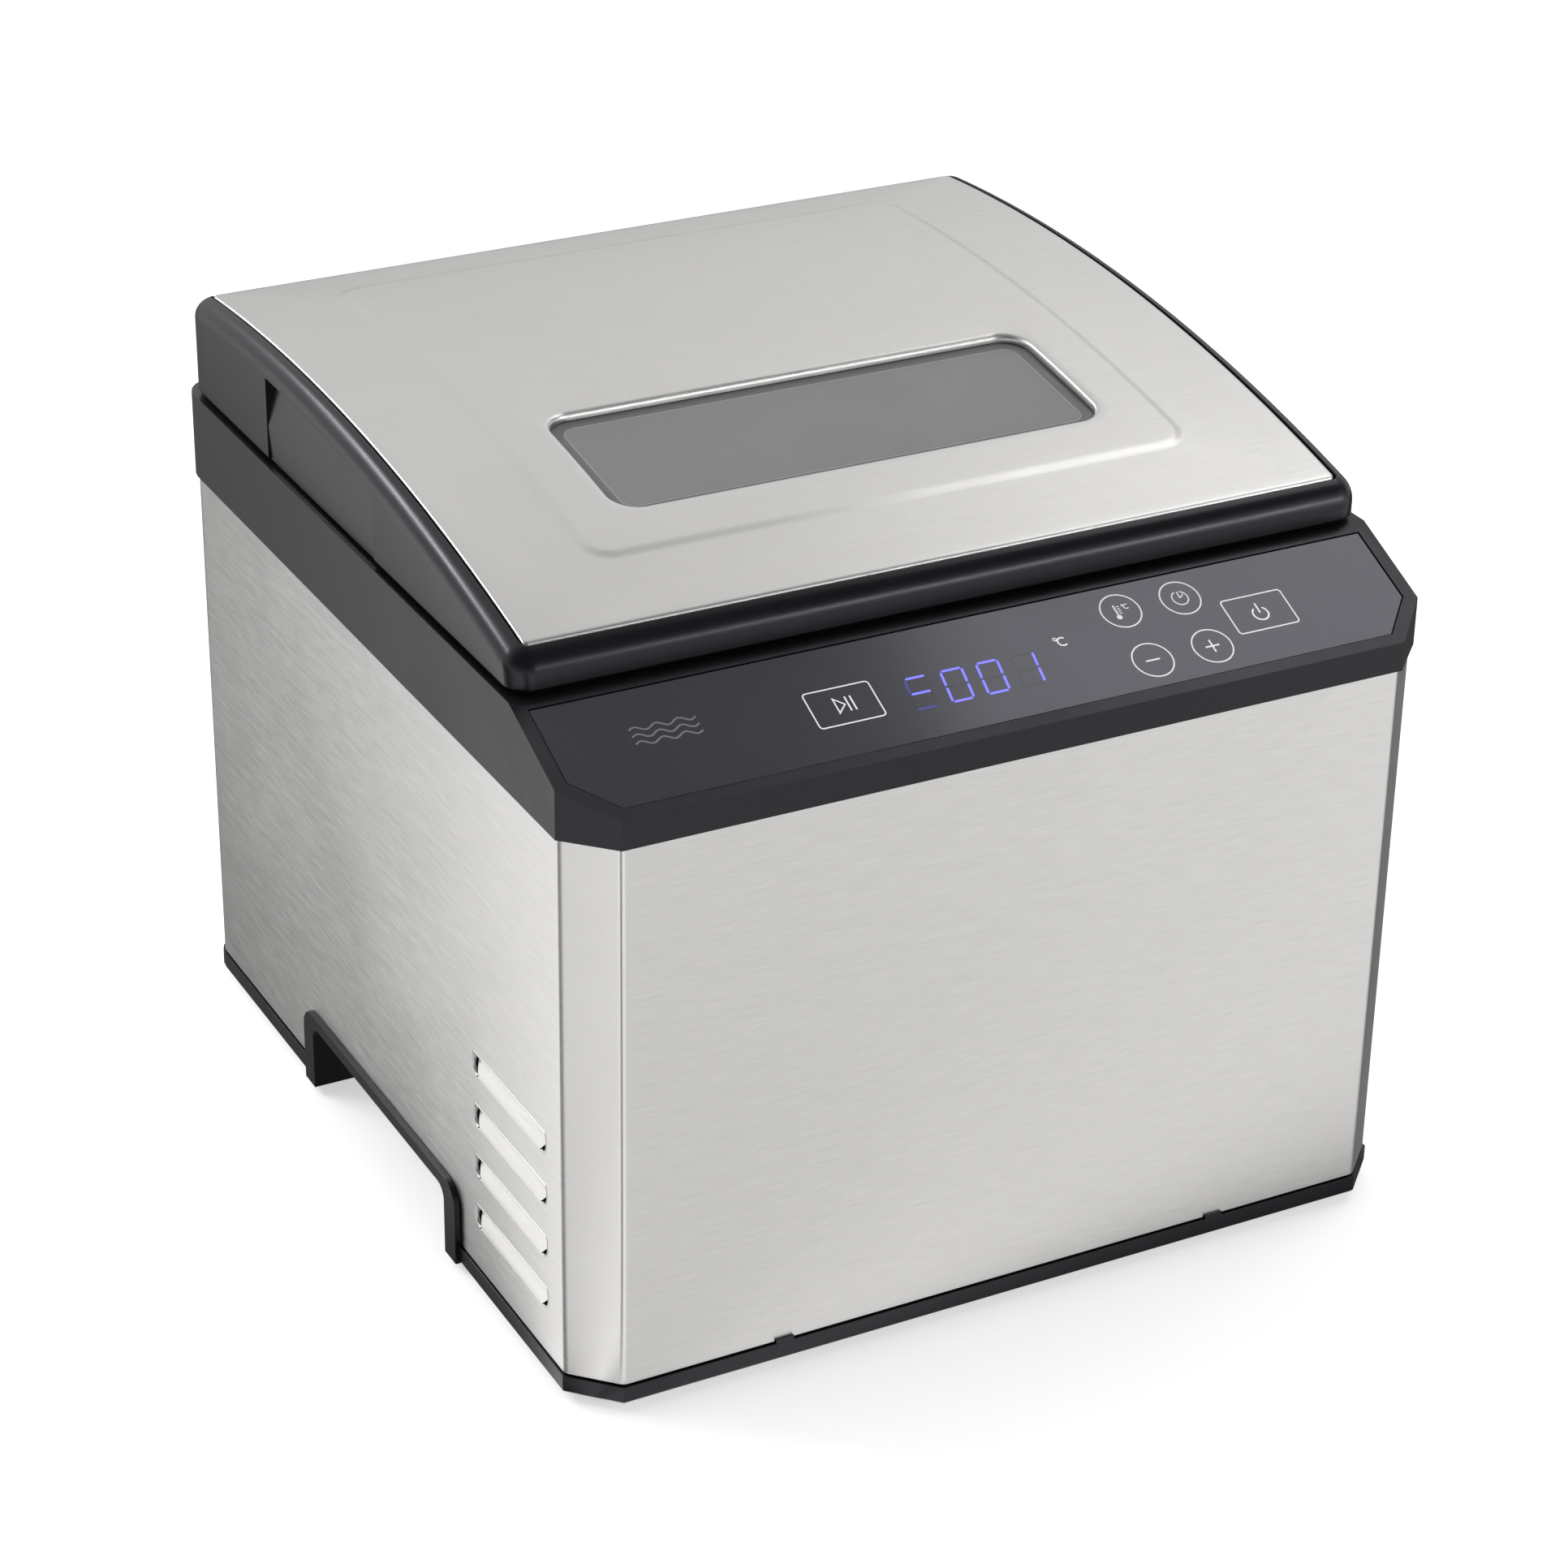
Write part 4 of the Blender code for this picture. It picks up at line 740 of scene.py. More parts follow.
def closed_sheet(front, back):
    """A thin shell from two equal grids of points, stitched round its border."""
    bm = bmesh.new()
    grids = [[[bm.verts.new(p) for p in row] for row in grid] for grid in (front, back)]
    for grid in grids:
        for low, high in zip(grid, grid[1:]):
            for i in range(len(low) - 1):
                bm.faces.new((low[i], low[i + 1], high[i + 1], high[i]))
    rims = []
    for grid in grids:
        up, down = [row[-1] for row in grid[1:]], [row[0] for row in grid[-2:0:-1]]
        rims.append(grid[0] + up + grid[-1][-2::-1] + down)
    for i in range(len(rims[0])):
        j = (i + 1) % len(rims[0])
        bm.faces.new((rims[0][i], rims[0][j], rims[1][j], rims[1][i]))
    bmesh.ops.recalc_face_normals(bm, faces=bm.faces)
    return bm


def make_casing():
    casing = bpy.context.scene.oven_casing
    sheet, height, depth = casing.sheet / MM, casing.louvre_height / MM, casing.louvre_depth / MM
    outer = wrap_line()
    inner = shifted(outer, sheet, closed=False)
    wrap = prism(outer + inner[::-1], CASING_LOW.z, CASING_HIGH.z)
    heights = [casing.louvre_low / MM + i * casing.louvre_pitch / MM for i in range(casing.louvre_count)]
    x = CASING_LOW.x
    tools = []
    for z in heights:
        tools += both_sides(lambda: prism_x(louvre_opening(z, height), x - 3.0, x + 3.0))
    tools += both_sides(lambda: prism_x(hold_outline(2.8, 0.0), x - 6.0, x + 12.0))
    for i in range(4):
        low, high = corners(f"rear_screw_{i + 1}")
        hole = arc((low.x + high.x) / 2, (low.z + high.z) / 2, 4.1, 0, 345, 23)
        tools.append(prism_y(hole, 165.0, 180.0))
    wrap = carved(wrap, ("DIFFERENCE", joined(tools)))
    piece = add_piece("steel_wrap", wrap, "wrap_steel", "housing", ("outer_casing",),
                      crease=None)
    round_edges(piece, 0.22, 2, 50.0)
    strips = []
    for z in heights:
        strips += both_sides(lambda: louvre_strip(z, height, depth, sheet))
        strips += both_sides(lambda: louvre_rim(z, height))
    add_piece("louvre_strips", joined(strips), "wrap_steel", "housing", crease=50.0)


# ---------------------------------------------------------------- base and top frame
def make_base():
    """Moulded tray with softer edges on the two finger lips, and its four rubber feet."""
    tray = merged_copy("base_tray", cut_slotted=True)
    reach = max(v.co.x for v in tray.verts)
    layer = tray.edges.layers.float.new("bevel_weight_edge")
    for edge in tray.edges:
        if len(edge.link_faces) == 2 and edge.calc_face_angle(0.0) > math.radians(32):
            on_lip = all(abs(abs(v.co.x) - reach) < 0.01 for v in edge.verts)
            edge[layer] = 1.0 if on_lip else 0.25
    piece = add_piece("base_moulding", tray, "moulded", "housing", ("base_tray",),
                      crease=None)
    round_edges(piece, 1.3, 4, by_weight=True)
    feet = []
    names = [f"foot_{a}_{b}" for a in ("front", "rear") for b in ("left", "right")]
    for name in names:
        low, high = corners(name)
        r, top = (high.x - low.x) / 2, 2.7
        profile = [(r - 3.0, 0.0), (r - 1.2, 0.1), (r - 0.4, 0.5), (r, 1.2), (r, top - 0.3), (r - 0.3, top)]
        profile += [(3.5, top), (3.5, 9.0), (2.6, 10.0)]
        feet.append(placed(turned(profile, 40), (low.x + high.x) / 2, (low.y + high.y) / 2, 0.0))
    add_piece("rubber_feet", joined(feet), "rubber", "housing", names)


def make_top_frame():
    refine("top_moulding", "top_frame", "moulded", "housing", 0.5, 3)


# ---------------------------------------------------------------- control panel
def panel_frame():
    """Local axes on the fascia: X right, Y up the slope from its front edge, Z out of its face."""
    mesh = NODES["control_overlay"].data
    normal = max((p.normal * p.area for p in mesh.polygons), key=lambda n: n.z).normalized()
    reach = max(normal.dot(v.co) for v in mesh.vertices) / MM
    angle = math.atan2(-normal.y, normal.z)
    edge_y = FRAME_LOW.y + 0.6
    place = Matrix.Translation((0, edge_y, (reach - normal.y * edge_y) / normal.z))
    return place @ Matrix.Rotation(angle, 4, "X")


INK_THICK = 0.04


def stroke(points, width, closed=False):
    """One printed line as a very thin solid lying on the panel."""
    sides = [shifted(points, d, closed) for d in (width / 2, -width / 2)]
    rows = []
    for left, right in zip(*sides):
        rows.append([(*left, 0.0), (*right, 0.0), (*right, INK_THICK), (*left, INK_THICK)])
    return loft(rows, ring=closed)


def patch(points):
    return prism(points, 0.0, INK_THICK)


def ring_key(x, y, line):
    return stroke(arc(x, y, 7.4, 0, 354, 59), line, True)


def key_marks(line):
    """Outlines of the six touch keys and their signs."""
    marks = [stroke(rounded_rect(-69.7, -45.2, 17.8, 33.2, 1.3, 4), line, True)]
    marks.append(stroke([(-60.3, 22.6), (-57.0, 25.7), (-60.3, 28.8)], line, True))
    marks += [stroke([(x, 22.6), (x, 28.8)], 0.6) for x in (-55.9, -54.0)]
    marks.append(stroke(rounded_rect(93.0, 117.3, 18.3, 33.8, 1.3, 4), line, True))
    marks.append(stroke(arc(105.1, 25.3, 2.9, 125, 415, 30), 0.62))
    marks.append(stroke([(105.1, 25.6), (105.1, 30.0)], 0.62))
    marks += [ring_key(x, y, line) for x, y in ((56.1, 39.1), (80.0, 39.1), (56.4, 15.9), (80.4, 16.2))]
    marks += [stroke([(53.65, 15.9), (59.15, 15.9)], 0.62), stroke([(77.65, 16.2), (83.15, 16.2)], 0.62)]
    marks += [stroke([(80.4, y), (80.4, y + 2.44)], 0.62) for y in (13.45, 16.51)]
    marks += timer_sign(80.0, 39.1) + thermometer_sign(54.4, 39.1)
    return marks


def timer_sign(x, y):
    hands = [stroke([(x, y), (x, y + 2.9)], 0.4), stroke([(x + 0.25, y + 0.1), (x + 1.8, y + 1.4)], 0.36)]
    return [stroke(arc(x, y, 3.0, 110, 430, 30), 0.42)] + hands


def thermometer_sign(x, y):
    signs = [patch(arc(x, y - 2.5, 1.0, 0, 345, 23)), stroke([(x, y - 1.4), (x, y + 3.0)], 0.55)]
    signs += [stroke([(x + 0.8, y - 0.9 + i), (x + 2.0, y - 0.9 + i)], 0.32) for i in range(4)]
    return signs + degree_sign(x + 3.3, y + 1.5, 0.55)


def degree_sign(x, y, scale=1.0):
    """Small ring and an open round stroke: the sign for degrees Celsius."""
    ring = arc(x, y + 1.5 * scale, 0.62 * scale, 0, 330, 11)
    bow = arc(x + 2.3 * scale, y, 1.75 * scale, 48, 312, 18)
    return [stroke(ring, 0.3 * scale + 0.06, True), stroke(bow, 0.52 * scale + 0.06)]


def wave_sign():
    """Three plain wave lines, a neutral sign for warm water."""
    waves = []
    for i in range(3):
        line = [(-132 + 0.5 * k, 28.0 + 3.0 * i + 0.9 * math.sin(k * math.pi / 8)) for k in range(49)]
        waves.append(stroke(line, 0.7))
    return waves


SEGMENTS = {
    "top": (0.0, 1.0, 1.0, 1.0), "middle": (0.0, 0.5, 1.0, 0.5), "bottom": (0.0, 0.0, 1.0, 0.0),
    "high_left": (0.0, 0.5, 0.0, 1.0), "high_right": (1.0, 0.5, 1.0, 1.0),
    "low_left": (0.0, 0.0, 0.0, 0.5), "low_right": (1.0, 0.0, 1.0, 0.5),
}
ZERO = ("top", "bottom", "high_left", "high_right", "low_left", "low_right")
READOUT = [
    {"lit": ("top", "middle"), "dim": ("high_left", "bottom")},
    {"lit": ZERO, "dim": ()}, {"lit": ZERO, "dim": ()},
    {"lit": ("high_right", "low_right"), "dim": ()},
]
DIGIT_PITCH = 13.67
DIGIT_LEFT = -34.8
DIGIT_LOW = 16.5
DIGIT_SLANT = math.tan(math.radians(7.0))


def digit_bar(column, name, sizes):
    """One bar of a seven-bar digit, pointed at both ends and leaning with the digit."""
    bar = sizes.digit_bar / MM
    run_x, run_y = sizes.digit_width / MM - bar - 1.4, sizes.digit_height / MM - bar
    x0, y0, x1, y1 = SEGMENTS[name]
    a = Vector((bar / 2 + x0 * run_x, bar / 2 + y0 * run_y))
    b = Vector((bar / 2 + x1 * run_x, bar / 2 + y1 * run_y))
    run = (b - a).normalized()
    side = Vector((-run.y, run.x)) * bar / 2
    a, b = a + run * 0.3, b - run * 0.3
    tip = run * bar / 2
    shape = [a, a + tip - side, b - tip - side, b, b - tip + side, a + tip + side]
    left = DIGIT_LEFT + column * DIGIT_PITCH
    return patch([(left + p.x + p.y * DIGIT_SLANT, DIGIT_LOW + p.y) for p in shape])


def digit_bars(sizes, kind):
    bars = []
    for column, state in enumerate(READOUT):
        for name in SEGMENTS:
            own = "lit" if name in state["lit"] else "dim" if name in state["dim"] else "dark"
            if own == kind:
                bars.append(digit_bar(column, name, sizes))
    return bars


def make_control_panel():
    sizes = bpy.context.scene.oven_panel
    refine("control_face", "control_overlay", "overlay", "housing", 0.25, 2)
    face = panel_frame() @ Matrix.Translation((0, 0, 0.004))
    prints = {
        "key_marks": (key_marks(sizes.line / MM) + degree_sign(26.8, 31.7), "ink", "overlay_gloss"),
        "wave_mark": (wave_sign(), "soft_ink", "overlay_gloss"),
        "digits_lit": (digit_bars(sizes, "lit"), "digit", "display"),
        "digits_dim": (digit_bars(sizes, "dim"), "digit_dim", "display"),
        "digits_dark": (digit_bars(sizes, "dark"), "digit_dark", "display"),
    }
    for name, (solids, finish_name, slot) in prints.items():
        add_piece(name, moved(joined(solids), face), finish_name, "housing")
    dress("display_module", "display")
    dress("control_board", "board")


# ---------------------------------------------------------------- lid
LID_ARC_Y = 89.1               # crest of the lid's long arc
LID_ARC_R = 838.2
LID_WALL = 3.0
SEAT_SINK = 3.0                # the sheet's seat lies this far under the crown
LEDGE_REACH = 16.0
SKIN_SHEET = 0.8
FRONT_PLAN_R = 9.0
REAR_PLAN_R = 15.0
EMBOSS = (-116.5, 116.5, -84.0, 140.0, 10.0)
WINDOW = (-95.5, 95.5, -61.4, 2.0, 10.0)
GRIP = (-9.5, 89.0)
GRIP_CREASE = 13.3             # crease of a grip above the lid's lower edge
CORNER_STEPS = 14
SIDE_STEPS = 36


def crown(y):
    """Height of the lid's middle line: a long arc, then a tight roll down the back."""
    roll = bpy.context.scene.oven_lid.rear_roll / MM
    centre_y = LID_HIGH.y - roll
    lean = (centre_y - LID_ARC_Y) / (LID_ARC_R - roll)
    arc_z = LID_HIGH.z - LID_ARC_R
    if y <= LID_ARC_Y + LID_ARC_R * lean:
        return arc_z + math.sqrt(LID_ARC_R ** 2 - (y - LID_ARC_Y) ** 2)
    centre_z = arc_z + (LID_ARC_R - roll) * math.sqrt(1 - lean * lean)
    return centre_z + math.sqrt(max(roll ** 2 - (y - centre_y) ** 2, 0.0))


def plan_loop(x0, x1, y0, y1, r_front, r_rear):
    """Rounded rectangle with extra points down its sides, so that it can follow the crown."""
    run = (y1 - r_rear) - (y0 + r_front)
    steps = [y0 + r_front + run * i / SIDE_STEPS for i in range(1, SIDE_STEPS)]
    points = arc(x1 - r_rear, y1 - r_rear, r_rear, 0, 90, CORNER_STEPS)
    points += arc(x0 + r_rear, y1 - r_rear, r_rear, 90, 180, CORNER_STEPS)
    points += [(x0, y) for y in reversed(steps)]
    points += arc(x0 + r_front, y0 + r_front, r_front, 180, 270, CORNER_STEPS)
    points += arc(x1 - r_front, y0 + r_front, r_front, 270, 360, CORNER_STEPS)
    return points + [(x1, y) for y in steps]


def rim_share():
    """How much of the side rounding each outline point takes: all of it, but none at the back."""
    turn = [math.cos(math.radians(90 * i / CORNER_STEPS)) ** 2 for i in range(CORNER_STEPS + 1)]
    return turn + turn[::-1] + [1.0] * (2 * (CORNER_STEPS + 1) + 2 * (SIDE_STEPS - 1))


def lid_outline(inset):
    return plan_loop(LID_LOW.x + inset, LID_HIGH.x - inset, LID_LOW.y + inset, LID_HIGH.y - inset,
                     max(FRONT_PLAN_R - inset, 1.5), max(REAR_PLAN_R - inset, 3.0))


def lid_loop(inset, sink=0.0):
    """The lid's surface along a line that stays one distance in from its outline."""
    r = bpy.context.scene.oven_lid.rim_roll / MM
    drop = r - math.sqrt(r * r - (r - inset) ** 2) if inset < r else 0.0
    return [(x, y, crown(y) - drop * share - sink) for (x, y), share in zip(lid_outline(inset), rim_share())]


def field_loop(place, grow, rise):
    """Line round the raised field or the window, laid on the crown."""
    x0, x1, y0, y1, r = place
    points = plan_loop(x0 - grow, x1 + grow, y0 - grow, y1 + grow, r + grow, r + grow)
    return [(x, y, crown(y) + rise) for x, y in points]


def between(outer, inner, share, rise):
    """Line part of the way from one outline to another, laid back on the crown."""
    pairs = [Vector(a).lerp(Vector(b), share) for a, b in zip(outer, inner)]
    return [(p.x, p.y, crown(p.y) + rise) for p in pairs]


def lid_shell():
    sizes = bpy.context.scene.oven_lid
    roll, rim, low = sizes.rim_roll / MM, sizes.rim_width / MM, LID_LOW.z
    loops = [at_height(lid_outline(1.0), low), at_height(lid_outline(0.4), low + 0.25)]
    loops += [at_height(lid_outline(0.1), low + 0.7), at_height(lid_outline(0.0), low + 1.3)]
    for angle in range(0, 72, 6):
        loops.append(lid_loop(roll * (1 - math.cos(math.radians(angle)))))
    loops += [lid_loop(rim - 0.35), lid_loop(rim - 0.1, 0.12), lid_loop(rim, 0.4)]
    loops += [lid_loop(rim + 0.01, SEAT_SINK), lid_loop(LEDGE_REACH, SEAT_SINK)]
    loops += [lid_loop(LEDGE_REACH, SEAT_SINK + 2.4), lid_loop(LID_WALL, SEAT_SINK + 0.7)]
    loops.append(at_height(lid_outline(LID_WALL), low))
    return loft(loops, ring=True)


def grip_hollow():
    """Two shallow facets meeting on a crease, cut in the left side for the fingers."""
    loops = []
    skin, low, steps = LID_LOW.x, LID_LOW.z, 16
    crease = low + GRIP_CREASE
    for i in range(steps + 1):
        y = GRIP[0] + (GRIP[1] - GRIP[0]) * i / steps
        top = crown(y) - 8.5
        deep = 0.3 + (top - crease) * 0.19
        loops.append([(skin - 3, y, low - 3), (skin + 1.2, y, low - 3), (skin + 0.3, y, crease),
                      (skin + deep, y, top), (skin - 3, y, top)])
    return loft(loops)


def grip_backing():
    """Thicker wall behind a grip."""
    loops = []
    for i in range(17):
        y = GRIP[0] - 5 + (GRIP[1] - GRIP[0] + 10) * i / 16
        x0, x1, low, top = LID_LOW.x + 2.4, LID_LOW.x + 6.6, LID_LOW.z + 0.4, crown(y) - SEAT_SINK - 1.4
        loops.append([(x0, y, low), (x1, y, low), (x1, y, top), (x0, y, top)])
    return loft(loops)


def make_lid_body():
    shell = carved(lid_shell(), ("UNION", joined(both_sides(grip_backing))),
                   ("DIFFERENCE", joined(both_sides(grip_hollow))))
    piece = add_piece("lid_moulding", shell, "lid_moulded", "lid", ("lid_frame",),
                      crease=None)
    round_edges(piece, 0.45, 3, 20.0)


def make_lid_sheet():
    """Brushed steel sheet over the crown: rolled edge, raised field and turned-down window rim."""
    sizes = bpy.context.scene.oven_lid
    up, soft, flange = sizes.emboss_raise / MM, sizes.emboss_soft / MM, sizes.window_flange / MM
    edge = sizes.rim_width / MM + 0.7
    top = [lid_loop(edge, 2.7), lid_loop(edge, 1.5), lid_loop(edge + 0.12, 0.95), lid_loop(edge + 0.35, 0.5)]
    top += [lid_loop(edge + 0.7, 0.2), lid_loop(edge + 1.1, 0.05), lid_loop(edge + 1.7)]
    top += [lid_loop(edge + 4.0), lid_loop(edge + 9.0)]
    for i in range(9):
        share = i / 8
        top.append(field_loop(EMBOSS, soft * (1 - 2 * share), up * smooth_step(share)))
    field, rim = field_loop(EMBOSS, -soft, up), field_loop(WINDOW, 2.4, up)
    top += [between(field, rim, i / 8, up) for i in range(1, 8)]
    for angle in (0, 20, 40, 60, 80, 90):
        a = math.radians(angle)
        top.append(field_loop(WINDOW, 2.0 * (1 - math.sin(a)), up - 2.0 * (1 - math.cos(a))))
    top.append(field_loop(WINDOW, 0.0, -flange))
    under = up - SKIN_SHEET
    low = [field_loop(WINDOW, 0.8, -flange), field_loop(WINDOW, 0.8, up - 2.2),
           field_loop(WINDOW, 2.6, under)]
    low += [between(field, rim, i / 8, under) for i in range(7, 0, -1)]
    for i in range(8, -1, -2):
        share = i / 8
        low.append(field_loop(EMBOSS, soft * (1 - 2 * share), up * smooth_step(share) - SKIN_SHEET))
    low += [lid_loop(edge + 9.0, SKIN_SHEET), lid_loop(edge + 2.2, SKIN_SHEET), lid_loop(edge + 0.8, 1.9)]
    low.append(lid_loop(edge + 0.8, 2.7))
    sheet = loft(top + low, ring=True)
    add_piece("lid_sheet", sheet, "lid_steel", "lid", ("lid_skin",), crease=50.0)


def pane_loop(grow, sink):
    """Line on the flat pane, under the turned-down flange."""
    x0, x1, y0, y1, r = WINDOW
    slope = (crown(y1) - crown(y0)) / (y1 - y0)
    under = bpy.context.scene.oven_lid.window_flange / MM + 0.3 + sink
    points = rounded_rect(x0 - grow, x1 + grow, y0 - grow, y1 + grow, max(r + grow, 1.0), 12)
    return [(x, y, crown(y0) + slope * (y - y0) - under) for x, y in points]


def make_window():
    """Flat frosted pane with a printed border, and the silicone gasket under it."""
    border = bpy.context.scene.oven_lid.border / MM
    loops = [pane_loop(5.7, 5.5), pane_loop(6.0, 5.2), pane_loop(6.0, 0.3), pane_loop(5.7, 0.0)]
    loops += [pane_loop(-border, 0.0), pane_loop(-border - 0.45, 0.0)]
    pane = loft(loops)
    pane.faces.ensure_lookup_table()
    count = len(loops[0])
    for index, face in enumerate(pane.faces):
        row = index // count
        face.material_index = {3: 1, 4: 2}.get(row, 0)
    add_piece("window_pane", pane, "pane border pane_line", "lid", ("window_glass",))
    refine("window_seal_ring", "window_gasket", "silicone", "lid", 0.4)


def make_lid_underside():
    refine("lid_inner_cover", "lid_liner", "liner_moulded", "lid", 0.45)
    refine("lid_seal_ring", "lid_seal", "silicone", "lid", 0.8, 3)


# ---------------------------------------------------------------- tank, rack and grille
def tank_loop(inset, z):
    flange = 14.0
    r = max(28.0 - inset, 3.0)
    x, y0, y1 = TANK_HIGH.x - flange - inset, TANK_LOW.y + flange + inset, TANK_HIGH.y - flange - inset
    return at_height(rounded_rect(-x, x, y0, y1, r, 16), z)


def make_tank():
    """Deep-drawn stainless tank with a rolled mouth and a flat flange on the deck."""
    sheet, bend, lip = 0.8, 12.0, 3.0
    floor, top = TANK_LOW.z + sheet, TANK_HIGH.z
    turns = [math.radians(90 * i / 9) for i in range(10)]
    loops = [tank_loop(bend * (1 - math.cos(a)), floor + bend * (1 - math.sin(a))) for a in reversed(turns)]
    loops += [tank_loop(-lip * (1 - math.cos(a)), top - lip * (1 - math.sin(a))) for a in turns]
    loops += [tank_loop(-13.6, top), tank_loop(-14.0, top - 0.3), tank_loop(-14.0, top - sheet)]
    loops += [tank_loop(-lip, top - sheet), tank_loop(-sheet, top - lip)]
    outer = bend + sheet
    for a in turns:
        loops.append(tank_loop(outer * (1 - math.cos(a)) - sheet, floor - sheet + outer * (1 - math.sin(a))))
    add_piece("water_tank", loft(loops), "tank_steel", "housing", ("inner_tank",), crease=50.0)


def wire_panel_tree():
    """Nodes for a wire panel: a round-cornered frame with bars both ways, put on every point."""
    w, source, sink = open_group(
        "wire_panel", "GeometryNodeTree",
        [("Geometry", "NodeSocketGeometry", None), ("Width", FLOAT, 0.2), ("Height", FLOAT, 0.1),
         ("Columns", "NodeSocketInt", 6), ("Rows", "NodeSocketInt", 1), ("Wire", FLOAT, 0.003),
         ("Turn", VECTOR, (0.0, 0.0, 0.0)), ("Material", "NodeSocketMaterial", None)],
        [("Geometry", "NodeSocketGeometry")])
    radius = w.math("MULTIPLY", source["Wire"], 0.5)
    profile = w.add("GeometryNodeCurvePrimitiveCircle", {"Resolution": 12, "Radius": radius}).outputs[0]
    width = w.math("SUBTRACT", source["Width"], source["Wire"])
    height = w.math("SUBTRACT", source["Height"], source["Wire"])
    outline = w.add("GeometryNodeCurvePrimitiveQuadrilateral", {"Width": width, "Height": height}).outputs[0]
    radius = w.math("MULTIPLY", source["Wire"], 1.5)
    corner = w.add("GeometryNodeFilletCurve", {"Curve": outline, "Radius": radius})
    soft = w.add("GeometryNodeResampleCurve", {"Curve": corner.outputs[0], "Count": 160}).outputs[0]
    parts = [w.add("GeometryNodeCurveToMesh", {"Curve": soft, "Profile Curve": profile}).outputs[0]]
    parts.append(bars(w, profile, width, height, source["Columns"], 0))
    parts.append(bars(w, profile, height, width, source["Rows"], 1))
    panel = w.add("GeometryNodeJoinGeometry", {0: parts}).outputs[0]
    spread = w.add("GeometryNodeInstanceOnPoints", {"Points": source["Geometry"], "Instance": panel,
                                                    "Rotation": source["Turn"]}).outputs[0]
    real = w.add("GeometryNodeRealizeInstances", {0: spread}).outputs[0]
    done = w.add("GeometryNodeSetMaterial", {"Geometry": real, "Material": source["Material"]})
    w.put(sink["Geometry"], done.outputs[0])
    return w.tree


def bars(w, profile, across, along, count, axis):
    """Evenly spaced inner bars; axis 0 sets them out along X, axis 1 along Y."""
    def vector(value):
        return w.add("ShaderNodeCombineXYZ", {axis: value}).outputs[0]

    def end(sign):
        return w.add("ShaderNodeCombineXYZ", {1 - axis: w.math("MULTIPLY", along, 0.5 * sign)}).outputs[0]
    step = w.math("DIVIDE", across, count)
    first = w.math("ADD", w.math("MULTIPLY", across, -0.5), step)
    line = w.add("GeometryNodeMeshLine", {"Count": w.math("SUBTRACT", count, 1.0),
                                          "Start Location": vector(first), "Offset": vector(step)})
    rod = w.add("GeometryNodeCurvePrimitiveLine", {"Start": end(-1), "End": end(1)}).outputs[0]
    solid = w.add("GeometryNodeCurveToMesh", {"Curve": rod, "Profile Curve": profile, "Fill Caps": True})
    row = w.add("GeometryNodeInstanceOnPoints", {"Points": line.outputs[0], "Instance": solid.outputs[0]})
    return row.outputs[0]


def grown(name, tree, points, inputs, body, stands_for, crease=35.0):
    """Run a node tree on a set of points (mm) and keep the result as a plain mesh."""
    mesh = bpy.data.meshes.new("points")
    mesh.from_pydata([Vector(p) * MM for p in points], [], [])
    seed = bpy.data.objects.new("points", mesh)
    bpy.context.scene.collection.objects.link(seed)
    modifier = seed.modifiers.new("grow", "NODES")
    modifier.node_group = tree
    named = {item.name: item.identifier for item in tree.interface.items_tree if item.in_out == "INPUT"}
    for label, value in inputs.items():
        modifier[named[label]] = value
    bpy.context.view_layer.update()
    result = bpy.data.meshes.new_from_object(seed.evaluated_get(bpy.context.evaluated_depsgraph_get()))
    result.name = name
    bpy.data.objects.remove(seed)
    bpy.data.meshes.remove(mesh)
    if not result.polygons:
        raise RuntimeError(f"{name} came out empty")
    return settle(name, result, body, stands_for, crease)


def make_rack():
    """Wire rack: grid floor, five dividers and two bent handles."""
    sizes = bpy.context.scene.oven_rack
    tree = wire_panel_tree()
    steel = finish("wire_steel")
    low, high = corners("rack_divider_1")
    names = [f"rack_divider_{i + 1}" for i in range(5)]
    middles = [(corners(n)[0] + corners(n)[1]) / 2 for n in names]
    upright = {"Width": (high.x - low.x) * MM, "Height": (high.z - low.z) * MM, "Columns": sizes.columns,
               "Rows": 1, "Wire": sizes.wire, "Turn": (math.pi / 2, 0.0, 0.0), "Material": steel}
    grown("rack_dividers", tree, middles, upright, "rack", names)
    low, high = corners("rack_base")
    centre = Vector(((low.x + high.x) / 2, (low.y + high.y) / 2, high.z - sizes.wire / MM / 2))
    flat = dict(upright, Width=(high.x - low.x) * MM, Height=(high.y - low.y) * MM, Columns=7, Rows=5,
                Turn=(0.0, 0.0, 0.0))
    grown("rack_floor", tree, [centre], flat, "rack", ("rack_base",))
    legs = []
    for x in (low.x + 1.6, high.x - 1.6):
        for y in (low.y + 1.6, high.y - 1.6):
            legs.append(placed(turned([(1.0, 0.0), (1.4, 0.4), (1.4, 7.2)], 16), x, y, low.z))
    add_piece("rack_legs", joined(legs), "wire_steel", "rack")
    handles = []
    for side in ("left", "right"):
        low, high = corners(f"rack_handle_{side}")
        r = sizes.handle / MM / 2
        x, y0, y1, top, turn = (low.x + high.x) / 2, low.y + r, high.y - r, high.z - r, 20.0
        bend = arc(y0 + turn, top - turn, turn, 180, 90, 14) + arc(y1 - turn, top - turn, turn, 90, 0, 14)
        path = [(x, y0, low.z)] + [(x, y, z) for y, z in bend] + [(x, y1, low.z)]
        handles.append(swept(path, r))
    add_piece("rack_handles", joined(handles), "wire_steel", "rack",
              ("rack_handle_left", "rack_handle_right"))
    dress("bottom_grille", "tank_steel")


